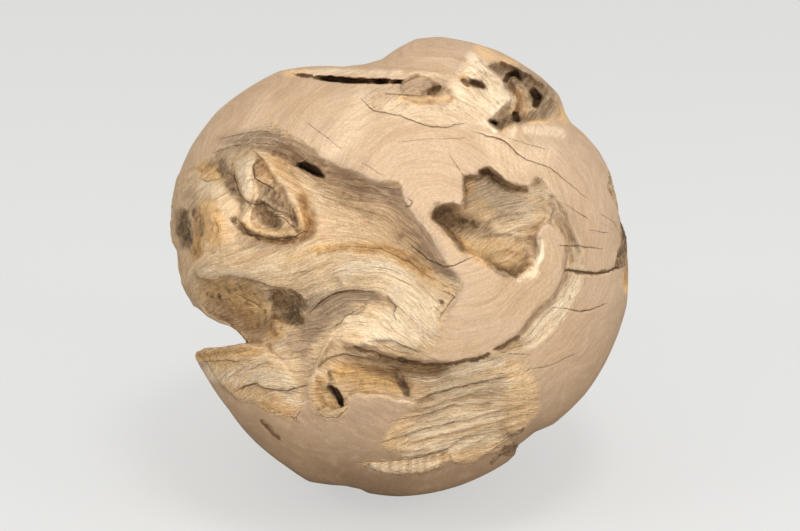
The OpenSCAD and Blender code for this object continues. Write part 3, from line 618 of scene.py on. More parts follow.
def from_frame(p):
    """The same way back."""
    s, c = math.sin(front_tilt), math.cos(front_tilt)
    x, y, z = p[:, 0] * 1000, p[:, 1] * 1000, p[:, 2] * 1000 - rest_mm
    return np.stack((x, y * s + z * c, z * s - y * c), 1)


ball_mesh = bpy.data.meshes.new("root_ball")
shell = bmesh.new()
bmesh.ops.create_icosphere(shell, subdivisions=8, radius=1.0)
shell.to_mesh(ball_mesh)
shell.free()
forward = 0.35
n = read_points(ball_mesh)
n[:, 2] += forward
n /= np.linalg.norm(n, axis=1)[:, None]
write_points(ball_mesh, worn_points(sanded_points(n)))
ball = bpy.data.objects.new("root_ball_wood", ball_mesh)
bpy.context.scene.collection.objects.link(ball)

# The notch between the left lobe and the beak is open right through to the fold behind it
notch_wedge = [
    (-165, -86), (-172, -80), (-179, -72), (-190, -66), (-200, -63), (-213, -56), (-224, -46),
    (-300, -30), (-300, -100), (-226, -95), (-200, -91),
]
cutter = bmesh.new()
near_z, far_z = 250.0, -50.0
nearer = 1 - near_z / eye_mm
face = cutter.faces.new([
    cutter.verts.new((a * nearer, b * nearer, near_z)) for a, b in notch_wedge
])
grown = bmesh.ops.extrude_face_region(cutter, geom=[face])
far_verts = [v for v in grown["geom"] if isinstance(v, bmesh.types.BMVert)]
spread = (1 - far_z / eye_mm) / nearer
for v in far_verts:
    v.co = (v.co.x * spread, v.co.y * spread, far_z)
bmesh.ops.recalc_face_normals(cutter, faces=cutter.faces)
cutter_mesh = bpy.data.meshes.new("notch_cutter")
cutter.to_mesh(cutter_mesh)
cutter.free()
cutter_object = bpy.data.objects.new("notch_cutter", cutter_mesh)
bpy.context.scene.collection.objects.link(cutter_object)


def apply_modifiers(piece):
    """Bakes a piece's modifiers into its mesh."""
    looked = bpy.context.evaluated_depsgraph_get()
    baked = bpy.data.meshes.new_from_object(piece.evaluated_get(looked))
    piece.modifiers.clear()
    old = piece.data
    piece.data = baked
    bpy.data.meshes.remove(old)


cut = ball.modifiers.new("notch", "BOOLEAN")
cut.object = cutter_object
cut.operation = "DIFFERENCE"
cut.solver = "MANIFOLD"
skin = ball.modifiers.new("even_skin", "REMESH")
skin.mode = "VOXEL"
skin.voxel_size = 1.9
apply_modifiers(ball)
bpy.data.objects.remove(cutter_object)

# Growth and fibre lines.
# Lines of even grain on the worn front with a value in mm across them, from which the
# fibres, their relief and their colour follow the flow of the wood
inner_grain = [
    (0, [(-222, 110), (-180, 140), (-150, 155), (-120, 147), (-88, 120), (-60, 106), (-22, 91),
         (0, 88)]),
    (24, [(-212, 96), (-186, 118), (-150, 134), (-118, 118), (-92, 92), (-56, 80), (-10, 64),
          (18, 30), (45, -4)]),
    (50, [(-214, 60), (-190, 56), (-95, 64), (-60, 52), (-25, 38), (5, 17), (32, -5), (56, -20)]),
    (72, [(-225, 5), (-180, -5), (-130, 0), (-100, 12), (-60, 20), (-20, 15), (10, 0), (30, -15),
          (62, -36)]),
    (98, [(-220, -22), (-160, -26), (-100, -24), (-60, -12), (-20, -14), (15, -32), (44, -60),
          (80, -76), (110, -62), (132, -30), (146, 4)]),
    (124, [(-200, -48), (-150, -54), (-100, -50), (-60, -36), (-20, -44), (14, -72), (50, -92),
           (92, -84), (128, -58), (156, -26), (168, 12), (160, 40)]),
    (150, [(-160, -76), (-100, -70), (-50, -86), (-10, -98), (45, -106), (90, -98), (130, -77),
           (152, -46), (176, -20), (184, 8), (172, 38)]),
    (176, [(-190, -100), (-140, -104), (-100, -118), (-60, -124), (-20, -122), (40, -126),
           (90, -112), (140, -90), (176, -50), (198, -8), (186, 40), (160, 84)]),
    (200, [(-190, -128), (-140, -132), (-100, -146), (-40, -140), (20, -146), (70, -134),
           (120, -122), (160, -96)]),
    (222, [(0, -166), (50, -154), (76, -146), (118, -142), (150, -132)]),
    (244, [(-18, -195), (20, -180), (60, -172), (110, -160), (150, -150)]),
    (268, [(0, -214), (40, -204), (90, -188), (132, -174)]),
]


def grain_across(a, b):
    """The value across the grain at each place, read from a net of even steps in mm."""
    net_reach, net_step = 300, 6.0
    known = []
    for value, line in inner_grain:
        for p, q in zip(line, line[1:]):
            known.append((p[0], p[1], value))
            known.append(((p[0] + q[0]) / 2, (p[1] + q[1]) / 2, value))
        known.append((line[-1][0], line[-1][1], value))
    steps = np.arange(-net_reach, net_reach + 1, net_step)
    net_a, net_b = np.meshgrid(steps, steps, indexing="ij")
    net = surface_through(known)(net_a, net_b)
    x = np.clip((a + net_reach) / net_step, 0, len(steps) - 1.001)
    y = np.clip((b + net_reach) / net_step, 0, len(steps) - 1.001)
    i, j = x.astype(int), y.astype(int)
    s, t = x - i, y - j
    return (
        net[i, j] * (1 - s) * (1 - t) + net[i + 1, j] * s * (1 - t)
        + net[i, j + 1] * (1 - s) * t + net[i + 1, j + 1] * s * t
    )


def rings(p):
    """Growth layers of the sanded parts: distance in mm from a bent line through the wood."""
    x, y, z = p.T
    bend = 14 * rough_at(p, 90, 21, 2) + 3 * rough_at(p, 26, 22, 2)
    return np.hypot(x - 30 + 12 * np.sin(z / 70), y - 30 + 14 * np.sin(z / 55)) + 0.35 * z + bend


def wood_fields(p):
    """What the wood is like at each point: how worn, its grain, and how deep in a hollow."""
    lost_all = np.zeros(len(p))
    for side in sides:
        q = turned(p, side)
        a, b = places(q)
        _, lost = wear(a, b, side)
        lost_all = np.maximum(lost_all, lost * smooth((q[:, 2] + 10) / 40))
    a, b = places(p)
    grain = np.where(p[:, 2] > -30, grain_across(a, b) + 0.35 * p[:, 2], rings(p))
    cave_grain = 1.2 * b - 0.3 * a + 0.6 * p[:, 2]
    crown_grain = 1.1 * b + 0.006 * (a - 30) ** 2 + 0.4 * p[:, 2]
    grain = np.where(in_outline(a, b, cave) > 0, cave_grain, grain)
    grain = np.where(in_outline(a, b, crown) > 0, crown_grain, grain)
    below = ball_mm - np.linalg.norm(p, axis=1)
    return a, b, lost_all, grain, below


# Stains, painted shade and painted light on the front, as strokes with a half width at each point,
# and a strength
stain_and_shade_strokes = {
    # Rot and dark end grain; the strokes in the cave, under the cave's upper lip and left of the
    # pale oval are painted shade
    "dark": [
        ([(-237, 54, 8), (-238, 40, 10), (-233, 28, 7)], 0.9),
        ([(-224, 58, 5), (-219, 46, 4), (-218, 34, 3)], 0.6),
        ([(-140, -30, 7), (-128, -42, 14), (-118, -54, 14), (-110, -62, 8)], 1.0),
        ([(-122, -32, 7), (-110, -42, 9)], 0.9),
        ([(-154, 66, 7), (-146, 54, 12), (-136, 48, 9)], 1.0),
        ([(-148, 84, 8), (-134, 72, 8)], 0.5), ([(-134, 71, 5), (-126, 62, 6), (-120, 58, 5)], 0.6),
        ([(-162, 70, 3), (-150, 69, 3), (-138, 62, 3), (-126, 60, 3)], 0.7),
        ([(-184, 50, 3), (-170, 36, 4), (-140, 30, 3), (-110, 30, 3)], 0.7),
        ([(-122, 66, 3), (-116, 52, 4), (-112, 40, 4)], 0.6),
        ([(-160, 94, 2), (-148, 88, 3), (-138, 84, 2)], 0.6),
        ([(-3, -117, 4), (3, -129, 7), (7, -141, 4)], 0.9),
        ([(-78, -118, 2), (-75, -126, 2), (-78, -134, 3)], 0.7),
        ([(-198, 106, 5), (-190, 98, 7), (-186, 84, 6), (-178, 72, 5)], 0.6),
        ([(-136, 123, 4), (-124, 118, 5), (-112, 112, 5)], 0.7),
        ([(118, -204, 6), (124, -202, 6)], 0.9),
        ([(112, -188, 2.5), (124, -184, 3.5), (135, -180, 2.5)], 0.9),
        ([(242, 68, 3), (245, 44, 3), (246, 20, 5), (242, 3, 5)], 1.0),
        ([(44, 60, 10), (60, 49, 9), (84, 46, 5)], 0.8),
        ([(92, 104, 7), (106, 94, 6), (130, 84, 4)], 0.6), ([(78, 204, 3), (88, 200, 5)], 0.7),
        ([(32, 192, 3), (38, 193, 4), (44, 196, 3)], 0.8), ([(-210, -31, 4), (-198, -34, 4)], 0.6),
        ([(-190, -26, 14), (-160, -36, 16), (-152, -58, 14)], 0.35),
        ([(44, -39, 2.5), (46, -40, 3)], 0.9), ([(42, -46, 2), (40, -51, 2)], 0.5),
        ([(72, 96, 2.5), (73, 84, 2.5), (72, 74, 3)], 0.5),
        ([(100, -1, 3), (112, -6, 4), (128, -9, 4), (138, -2, 4)], 0.6),
        ([(98, 159, 3), (110, 156, 4), (126, 163, 6)], 0.7),
        ([(128, 209, 4), (144, 196, 6), (150, 184, 8)], 0.6), ([(150, 30, 3), (150, 18, 3)], 0.4),
        ([(100, -218, 3), (112, -206, 3)], 0.6), ([(56, 33, 4), (66, 18, 4)], 0.5),
    ],
    # Painted shade: under lips, in the caves and the top cave, in the stub and under the lobe, and
    # on the lower left of the ball
    "shade": [
        ([(-158, -176, 16), (-112, -206, 14), (-60, -226, 9)], 0.2),
        ([(-96, 124, 8), (-80, 112, 8), (-60, 102, 9), (-40, 90, 8)], 0.35),
        ([(-190, -36, 12), (-168, -46, 12), (-200, -52, 10)], 0.35),
        ([(-58, -101, 6), (-36, -108, 8), (-10, -114, 8), (14, -118, 8)], 0.85),
        ([(-92, 100, 5), (-112, 112, 6), (-134, 124, 5)], 0.35),
        ([(-158, 60, 7), (-146, 51, 10), (-132, 46, 8)], 0.7),
        ([(-241, 56, 7), (-241, 40, 9), (-237, 25, 7)], 0.75),
        ([(-148, 129, 4), (-130, 123, 6), (-114, 113, 6)], 0.6),
        ([(-94, 62, 4), (-94, 48, 6), (-100, 34, 5), (-116, 27, 4)], 0.4),
        ([(-190, 104, 5), (-184, 84, 6), (-176, 66, 5)], 0.4),
        ([(70, 97, 3), (86, 99, 5), (95, 101, 7), (106, 94, 7), (118, 86, 5), (134, 83, 4)], 0.9),
        ([(41, 56, 8), (50, 53, 13), (64, 46, 15), (82, 42, 12), (98, 38, 7)], 0.95),
        ([(38, 50, 5), (52, 38, 6), (62, 24, 5), (72, 14, 5)], 0.7),
        ([(104, -1, 5), (116, -6, 7), (128, -8, 7), (136, 4, 6)], 0.8),
        ([(100, 14, 12), (122, 10, 10)], 0.4),
        ([(100, 219, 5), (118, 214, 8), (128, 206, 9), (120, 198, 7)], 0.9),
        ([(140, 204, 9), (150, 192, 10), (156, 180, 8)], 0.9),
        ([(162, 192, 6), (168, 178, 6), (158, 166, 7)], 0.6),
        ([(102, 156, 5), (118, 156, 7), (134, 162, 7), (148, 166, 6)], 0.8),
        ([(-60, -92, 5), (-36, -100, 7), (-10, -108, 8), (14, -114, 9), (38, -115, 7),
          (52, -112, 4)], 0.9),
        ([(50, -108, 1.6), (80, -103.5, 1.4), (96, -98.5, 1.2)], 0.8),
        ([(-208, -40, 8), (-190, -52, 12), (-168, -66, 14), (-150, -62, 12)], 0.5),
        ([(-214, -24, 6), (-180, -26, 8), (-150, -32, 9), (-124, -36, 9)], 0.45),
        ([(-130, 40, 12), (-150, 50, 9)], 0.4),
        ([(-184, 96, 6), (-180, 80, 6), (-172, 64, 5)], 0.6),
        ([(-130, 132, 7), (-114, 120, 7), (-98, 112, 6)], 0.7),
        ([(26, 190, 4), (36, 192, 5), (46, 195, 4)], 0.8),
        ([(74, 204, 4), (84, 201, 6), (92, 197, 4)], 0.8),
        ([(-86, -130, 4), (-76, -138, 7), (-68, -150, 6)], 0.7),
        ([(-80, -60, 6), (-96, -76, 8), (-106, -94, 8)], 0.3),
        ([(108, -90, 3), (128, -80, 3), (148, -54, 3), (170, -34, 3), (182, -8, 3),
          (182, 18, 3)], 0.6),
        ([(236, 56, 4), (238, 40, 5), (-236, 30, 5)], 0.0), ([(8, -138, 6), (10, -120, 6)], 0.5),
        ([(-6, -205, 3), (20, -205, 4), (50, -198, 3)], 0.3),
    ],
    # Rust-brown wood; the stroke along the stub's right and lower side also paints the stub's
    # shadow
    "rust": [
        ([(-152, 108, 5), (-144, 92, 6), (-132, 74, 7), (-122, 56, 6)], 0.5),
        ([(-224, 60, 6), (-220, 40, 9), (-224, 16, 8)], 0.8),
        ([(-108, 72, 6), (-101, 54, 8), (-102, 40, 8), (-116, 30, 5), (-140, 27, 4), (-160, 33, 4),
          (-174, 44, 3)], 0.9),
        ([(-158, 122, 2), (-149, 112, 2), (-139, 98, 2.5), (-128, 80, 3), (-118, 62, 4),
          (-112, 48, 5)], 0.6),
        ([(-162, 70, 2), (-160, 84, 2), (-162, 100, 2)], 0.5),
        ([(-210, 58, 6), (-203, 44, 7), (-206, 30, 6)], 0.4), ([(-224, 22, 5), (-226, 12, 4)], 0.5),
        ([(-90, 14, 3), (-60, 21, 5), (-20, 17, 5), (6, 7, 5), (26, -7, 5)], 0.6),
        ([(-138, -58, 5), (-137, -74, 6)], 0.7),
        ([(-196, -40, 8), (-170, -56, 10), (-156, -70, 9)], 0.5),
        ([(-62, -110, 5), (-30, -115, 5), (-4, -120, 6), (4, -134, 4)], 0.5),
        ([(-90, -122, 3), (-91, -138, 4), (-84, -151, 4), (-73, -156, 3)], 0.7),
        ([(-222, -98, 3), (-196, -95, 4), (-166, -92, 3)], 0.6),
        ([(60, 30, 4), (72, 18, 5), (96, 4, 5), (126, -8, 5), (142, 0, 4)], 0.6),
        ([(36, 56, 3), (46, 46, 4), (56, 36, 4)], 0.6),
        ([(4, 184, 2), (18, 181, 2.5), (36, 181, 2.5)], 0.5),
        ([(90, 214, 3), (104, 200, 3), (114, 188, 3)], 0.3),
        ([(68, 204, 3), (76, 199, 3), (90, 196, 2)], 0.5),
        ([(128, 196, 4), (136, 182, 5), (132, 168, 5)], 0.5),
        ([(244, 62, 3), (247, 38, 3), (248, 14, 3), (249, -20, 3)], 0.6),
        ([(116, -206, 4), (126, -202, 4)], 0.6),
        ([(-152, -152, 4), (-132, -160, 4), (-118, -162, 3)], 0.3),
    ],
    "ochre": [
        ([(-220, 108, 6), (-205, 102, 10), (-198, 96, 6)], 0.7),
        ([(-212, 62, 12), (-206, 46, 14), (-204, 30, 12)], 0.8),
        ([(-224, 24, 8), (-226, 12, 6)], 0.8),
        ([(-174, 42, 6), (-150, 34, 6), (-125, 33, 6), (-106, 36, 8)], 0.8),
        ([(-108, 60, 8), (-103, 46, 10)], 1.0), ([(-150, 112, 8), (-140, 100, 8)], 0.4),
        ([(-140, 116, 7), (-120, 96, 9), (-106, 76, 9)], 0.5),
        ([(-206, -26, 16), (-172, -34, 18), (-158, -54, 18)], 0.9),
        ([(-138, -62, 8), (-137, -73, 8)], 1.0),
        ([(-66, -118, 12), (-46, -120, 15), (-20, -125, 14), (-4, -132, 9)], 1.0),
        ([(-88, -128, 8), (-84, -146, 9), (-74, -152, 6)], 0.8),
        ([(-222, -99, 6), (-190, -97, 8), (-160, -94, 7)], 0.9),
        ([(-200, -112, 8), (-180, -106, 10)], 0.5), ([(-150, -155, 6), (-130, -160, 8)], 0.4),
        ([(248, -10, 3), (250, -28, 4)], 0.9), ([(2, 184, 4), (12, 181, 5), (26, 180, 4)], 0.8),
        ([(70, 206, 5), (74, 199, 5)], 0.9), ([(86, 237, 7), (110, 227, 5), (126, 222, 3)], 0.5),
        ([(-100, 16, 5), (-62, 22, 6), (-20, 17, 7), (10, 5, 9), (28, -8, 9)], 1.0),
        ([(10, -2, 4), (34, -16, 5), (58, -27, 3)], 0.6),
        ([(60, 32, 8), (72, 20, 9), (100, 4, 8), (128, -4, 7)], 0.8),
        ([(96, 22, 14), (122, 14, 12), (136, 4, 8)], 0.6), ([(76, 92, 4), (74, 78, 4)], 0.6),
        ([(68, 52, 12), (90, 60, 14)], 0.4), ([(128, 192, 6), (136, 178, 7), (130, 168, 8)], 0.7),
        ([(174, 172, 5), (180, 162, 6)], 0.6), ([(112, 150, 4), (120, 155, 4)], 0.4),
        ([(8, -112, 5), (36, -114, 6)], 0.6), ([(-120, 8, 5), (-100, 14, 4), (-70, 22, 3)], 0.4),
        ([(-200, -2, 4), (-150, -2, 4)], 0.3), ([(10, 186, 3), (40, 184, 4), (58, 184, 4)], 0.5),
        ([(140, 160, 3), (170, 158, 3)], 0.6), ([(-126, 212, 4), (-104, 213, 4)], 0.6),
    ],
    # Painted shade in grey-brown: under lips and ledges, in the valley and the caves, and under the
    # lobe
    "grey": [
        ([(-152, 134, 6), (-128, 132, 11), (-105, 120, 12), (-88, 110, 10)], 0.8),
        ([(-72, 102, 12), (-52, 92, 14), (-28, 82, 14), (-8, 78, 12), (10, 52, 13), (28, 26, 13),
          (44, 4, 9), (62, -13, 5)], 0.9),
        ([(-96, -42, 10), (-74, -36, 9), (-45, -33, 8), (-25, -36, 6)], 0.9),
        ([(-110, -92, 12), (-98, -72, 14), (-80, -55, 12), (-58, -46, 8)], 0.8),
        ([(-100, -108, 12), (-118, -82, 12)], 0.6),
        ([(5, 196, 8), (20, 199, 10), (34, 198, 7), (48, 200, 5)], 0.5),
        ([(-196, 112, 7), (-190, 94, 9)], 0.8), ([(-228, 64, 8), (-232, 80, 8)], 0.4),
        ([(-205, -28, 16), (-170, -30, 16), (-158, -55, 18)], 0.8),
        ([(-152, 54, 8), (-140, 52, 8)], 0.8), ([(-148, 78, 9), (-132, 68, 8)], 0.7),
        ([(20, -133, 4), (60, -128, 4), (112, -123, 3)], 0.25),
        ([(2, -156, 5), (60, -144, 4), (112, -139, 4)], 0.25),
        ([(90, 76, 14), (118, 70, 16), (140, 60, 12), (152, 72, 12)], 0.25),
        ([(170, 70, 9), (182, 50, 9), (190, 28, 8)], 0.45),
        ([(-40, -87, 4), (-10, -84, 3), (20, -93, 3)], 0.5), ([(150, 30, 5), (150, 16, 5)], 0.6),
        ([(104, 220, 6), (130, 212, 8), (160, 190, 12), (160, 170, 10)], 0.6),
        ([(-196, 136, 6), (-164, 142, 8), (-136, 142, 8)], 0.8),
        ([(-150, 22, 6), (-176, 26, 7)], 0.4), ([(-72, -90, 8), (-86, -100, 6)], 0.3),
        ([(-48, -166, 10), (-20, -158, 10), (10, -158, 8)], 0.3),
        ([(-60, 118, 10), (-40, 108, 10)], 0.25),
    ],
    # Bleached wood; the strokes on the sanded upper right, on the beak and on the band under the
    # lower lip are also painted light
    "pale": [
        ([(96, 76, 12), (116, 68, 14), (136, 58, 12)], 0.9),
        ([(-168, 110, 9), (-166, 92, 9), (-170, 78, 5)], 0.7),
        ([(96, 142, 14), (122, 112, 18), (156, 122, 16)], 0.3),
        ([(-150, 178, 14), (-165, 150, 10)], 0.2),
        ([(-10, 176, 10), (20, 168, 12), (50, 165, 12), (74, 166, 12), (92, 160, 8)], 0.4),
        ([(66, 196, 12), (84, 214, 14), (100, 196, 14), (106, 180, 12)], 1.0),
        ([(60, 178, 10), (78, 184, 14), (96, 176, 12)], 0.8),
        ([(-206, -118, 10), (-180, -120, 12), (-150, -118, 14), (-124, -132, 12),
          (-114, -150, 8)], 0.75),
        ([(84, 66, 14), (104, 54, 16), (118, 36, 14)], 0.5),
        ([(92, 88, 8), (112, 80, 10), (132, 68, 12)], 0.5), ([(146, 84, 8), (160, 76, 8)], 0.6),
        ([(55, -118, 8), (80, -112, 8), (112, -106, 6)], 1.0),
        ([(20, -122, 8), (44, -126, 8)], 0.7),
        ([(153, 26, 4), (153, 8, 5), (146, -8, 5), (132, -14, 4)], 1.0),
        ([(78, 228, 6), (96, 208, 8), (110, 192, 10), (118, 182, 6), (104, 170, 6)], 1.0),
        ([(90, 160, 5), (104, 149, 4)], 1.0),
        ([(142, -82, 9), (160, -66, 12), (178, -42, 11), (192, -16, 9), (196, 0, 6)], 1.0),
        ([(198, 6, 5), (192, 30, 5)], 0.5),
        ([(20, -182, 12), (60, -172, 13), (104, -164, 10)], 0.8),
        ([(10, -205, 7), (60, -197, 9), (104, -186, 8)], 0.8),
        ([(40, -140, 8), (80, -134, 8), (116, -130, 8)], 0.7),
        ([(30, -160, 6), (70, -152, 6), (110, -146, 6)], 0.6),
        ([(-30, -221, 5), (0, -222, 6), (40, -215, 6)], 0.8),
        ([(-10, -60, 16), (10, -80, 14), (-30, -72, 14)], 0.9),
        ([(-60, -5, 10), (-20, 0, 10), (10, -14, 10)], 0.8),
        ([(0, -30, 14), (24, -46, 18), (30, -72, 14)], 0.9), ([(-171, 110, 8), (-169, 96, 9)], 0.8),
        ([(-194, 126, 6), (-164, 136, 6), (-140, 142, 5)], 0.5),
        ([(-200, 80, 8), (-214, 86, 8)], 0.6), ([(-216, -6, 5), (-180, -6, 6), (-140, -4, 6)], 0.7),
        ([(-160, -120, 10), (-130, -124, 12)], 0.7), ([(140, 150, 6), (175, 146, 6)], 0.5),
        ([(-60, -58, 8), (-44, -64, 10)], 0.6), ([(-135, -90, 7), (-128, -100, 7)], 0.6),
        ([(20, 166, 5), (50, 160, 5)], 0.4), ([(-94, -124, 5), (-86, -118, 6)], 0.6),
        ([(-80, 120, 10), (-60, 140, 14), (-40, 180, 16)], 0.25),
        ([(-118, 214, 3), (-60, 212, 4), (0, 212, 4)], 0.5), ([(124, 150, 5), (120, 140, 5)], 0.5),
        ([(0, -146, 4), (12, -148, 4)], 0.8), ([(-88, 74, 8), (-96, 60, 6)], 0.4),
    ],
}
# Drying cracks on the front, in two sets whose lines lie well apart, with half widths in mm
cracks = {
    "crack_a": [
        [(183, -5, 1.1), (200, -7, 1.3), (215, -9, 1.2), (228, -7, 0.9), (240, -2, 0.5)],
        [(170, -46, 0.3), (185, -48, 0.6), (197, -51, 0.7), (210, -49, 0.6), (226, -42, 0.3)],
        [(184, 66, 0.2), (205, 53, 0.5)], [(138, -116, 0.2), (165, -110, 0.4), (192, -98, 0.2)],
        [(82, 147, 0.4), (95, 143, 0.6), (109, 140, 0.8), (120, 133, 0.8), (127, 125, 0.7),
         (140, 116, 0.6), (165, 108, 0.5), (190, 87, 0.4), (206, 74, 0.2)],
        [(12, 22, 0.4), (30, 8, 0.7), (48, -1, 0.8), (60, 0, 0.7), (72, 6, 0.6), (82, 10, 0.3)],
        [(-56, 203.5, 2), (-44, 203.2, 1.8), (-20, 203, 1.7), (0, 202.5, 1.8), (3, 204, 0.8)],
        [(-118, 210.8, 0.6), (-108, 210, 1), (-98, 208, 1.6)],
        [(-101, 156, 0.2), (-90, 148, 0.4), (-66, 130, 0.2)],
        [(-178, -32, 0.4), (-166, -38, 0.8), (-154, -45, 0.4)],
        [(-182, -139, 0.3), (-170, -132, 0.7), (-158, -130, 0.7), (-150, -135, 0.7),
         (-125, -138, 0.8), (-104, -132, 0.7)],
        [(-42, 183, 0.3), (-30, 171, 0.6), (-22, 169, 0.5), (0, 165, 0.5), (15, 159, 0.6),
         (33, 153, 0.6), (50, 152, 0.5), (70, 157, 0.3)],
        [(-102, -54, 0.3), (-85, -38, 0.7), (-70, -30, 0.7), (-50, -27, 0.5), (-30, -29, 0.4)],
        [(-178, 50, 0.7), (-165, 34, 0.9), (-140, 29, 0.9), (-115, 31, 0.8), (-104, 38, 0.5)],
        [(-183, 108, 0.4), (-182, 96, 0.7), (-176, 78, 0.9), (-166, 67, 0.7)],
        [(-60, 22, 0.2), (-20, 18, 0.4), (10, 4, 0.5), (36, -16, 0.3)],
        [(-46, -217, 0.3), (0, -214, 0.5), (25, -211, 0.6), (54, -201, 0.4)],
        [(-10, -172, 0.2), (30, -163, 0.4), (60, -153, 0.3)],
        [(-216, -106, 0.3), (-190, -104, 0.5), (-178, -106, 0.4)],
        [(-58, -157, 0.3), (-68, -167, 0.5), (-80, -168, 0.5), (-92, -161, 0.3)],
        [(-196, 140, 0.2), (-174, 145, 0.4), (-150, 148, 0.3), (-130, 143, 0.2)],
        [(106, -92, 0.6), (118, -85, 0.5), (130, -77, 0.3)], [(-20, 100, 0.2), (-40, 112, 0.3)],
    ],
    "crack_b": [
        [(176, 22, 0.3), (200, 21, 0.7), (222, 18, 0.3)], [(210, 39, 0.2), (228, 36, 0.4)],
        [(112, -96, 0.3), (120, -97, 0.6), (140, -98, 0.3)],
        [(54, 123, 0.2), (62, 110, 0.4), (71, 98, 0.4)],
        [(-16, 189, 0.4), (0, 188, 0.5), (26, 186, 0.4)],
        [(44, -57, 0.4), (60, -34, 0.5), (50, -29, 0.4)],
        [(-76, -69, 0.3), (-64, -62, 0.5), (-60, -56, 0.5), (-38, -44, 0.3)],
        [(-170, 71, 0.5), (-158, 67, 0.8), (-148, 68, 0.6), (-138, 61, 0.6), (-124, 58, 0.4)],
        [(-161, 126, 0.4), (-152, 118, 0.5), (-161, 110, 0.5), (-160, 96, 0.6), (-150, 90, 0.7),
         (-138, 84, 0.4)],
        [(8, -152, 0.2), (35, -142, 0.4), (60, -135, 0.4), (122, -122, 0.2)],
        [(-20, -195, 0.2), (20, -181, 0.4), (60, -172, 0.2)],
        [(8, 74, 0.3), (14, 70, 0.6), (12, 65, 0.6), (6, 66, 0.3)],
        [(-144, 55, 0.3), (-130, 54, 0.6), (-118, 42, 0.5)],
        [(-14, -34, 0.3), (-4, -46, 0.4), (-7, -52, 0.4), (-4, -62, 0.3)],
        [(-90, -112, 0.4), (-78, -102, 0.5), (-62, -98, 0.5), (-34, -102, 0.3)],
        [(-34, -83, 0.2), (-6, -83, 0.4), (4, -89, 0.4), (24, -95, 0.3)],
        [(120, 140, 0.2), (160, 128, 0.3)], [(150, 88, 0.2), (156, 96, 0.3)],
        [(-222, 97, 0.3), (-214, 93, 0.6), (-200, 95, 0.3)],
        [(-205, 52, 0.3), (-200, 42, 0.5), (-198, 34, 0.3)], [(30, -100, 0.2), (60, -112, 0.2)],
        [(222, 56, 0.2), (236, 47, 0.3), (240, 40, 0.2)],
        [(-120, -165, 0.3), (-116, -169, 0.4), (-110, -160, 0.3)],
        [(0, 136, 0.15), (30, 139, 0.2), (70, 140, 0.15)],
        [(-206, 124, 0.2), (-186, 131, 0.5), (-164, 135, 0.4), (-142, 134, 0.4), (-126, 128, 0.2)],
        [(-10, 14, 0.2), (14, 20, 0.2)], [(100, -200, 0.3), (124, -186, 0.5), (138, -178, 0.3)],
        [(-130, -10, 0.2), (-100, -6, 0.3)],
    ],
}
# Cracks on the sides that the front doesn't show, as they are seen from each
side_cracks = {
    "back": [
        [(-60, -30, 0.3), (-20, -60, 1.1), (-4, -110, 1.2), (-20, -160, 0.4)],
        [(60, 150, 0.3), (96, 120, 0.9), (150, 96, 0.3)],
        [(-150, -60, 0.3), (-110, -84, 0.8), (-80, -130, 0.3)],
    ],
    "left": [
        [(-60, 120, 0.3), (-20, 84, 1), (40, 70, 0.8), (90, 30, 0.3)],
    ],
    "right": [
        [(-60, -60, 0.3), (0, -82, 1), (70, -70, 0.8), (120, -40, 0.3)],
        [(70, 130, 0.3), (110, 80, 0.8), (130, 40, 0.3)],
    ],
    "top": [
        [(-60, -60, 0.3), (-10, -90, 0.9), (60, -84, 0.3)],
    ],
}


def stroke_strength(a, b, kind):
    """How strongly the strokes of one kind lie on each place: stains, painted shade and painted
    light alike.
    """
    a, b = waver(a, b, 3.0, 14, 17)
    total = np.zeros_like(a)
    for line, strength in stain_and_shade_strokes[kind]:
        index, near, _, _, wide = follow(a, b, line, 1.5 * max(p[2] for p in line))
        total[index] = np.maximum(total[index], strength * smooth(1.3 - 0.9 * near / wide))
    return total


def hole_field(a, b):
    """1 in the holes and slits, where they are painted black as shade, with a soft rim around them.
    """
    a, b = waver(a, b, 2.0, 7, 3)
    total = np.zeros_like(a)
    for line, depth in dark_cuts:
        index, near, _, _, wide = follow(a, b, line, 1.4 * max(p[2] for p in line))
        black = smooth((1.2 - near / np.maximum(wide, 2)) / 0.5) * min(1, 0.4 + depth / 30)
        total[index] = np.maximum(total[index], black)
    return total


def layer_edges(a, b):
    """Painted shade just below the edge of each layer of wood, and a painted highlight just above
    it.
    """
    a, b = waver(a, b, 2.2, 11, 3)
    foot_dark, brow_pale = np.zeros_like(a), np.zeros_like(a)
    for line, height, _ in front_ledges:
        index, near, side, share_along, _ = follow(a, b, line, 9)
        ends = fading_ends(share_along) * min(1, abs(height) / 3)
        high = side * math.copysign(1, height) > 0
        shadow = np.where(high, np.exp(-near / 0.8), np.exp(-near / 2.6)) * ends
        shine = high * smooth(near / 1.5) * np.exp(-near / 3.5) * ends
        foot_dark[index] = np.maximum(foot_dark[index], shadow)
        brow_pale[index] = np.maximum(brow_pale[index], shine)
    return foot_dark, brow_pale


def crack_field(p, name):
    """Signed distance to the nearest crack as a share of its half width, and 1 close to it."""
    far_off, slimmer = 12, 0.72
    off = np.full(len(p), float(far_off))
    close = np.zeros(len(p))
    best = np.full(len(p), 1e9)
    sets = [("front", cracks[name])] + (list(side_cracks.items()) if name == "crack_a" else [])
    for side, lines in sets:
        q = turned(p, side)
        a, b = waver(*places(q), 1.0, 6, 11)
        for line in lines:
            index, near, side_of, share_along, wide = follow(a, b, line, 10)
            here = (near < best[index]) & (q[index, 2] > 0)
            index, near, side_of = index[here], near[here], side_of[here]
            share_along, wide = share_along[here], wide[here]
            best[index] = near
            off[index] = np.clip(side_of * near / (slimmer * wide), -far_off, far_off)
            past = np.where((share_along <= 0.001) | (share_along >= 0.999), near, 0)
            strong = np.clip(0.35 + wide, 0, 1)
            close[index] = smooth(1.5 - near / 6) * smooth(1 - past / 3) * strong
    return off, close


ball_mesh = ball.data
co = read_points(ball_mesh)


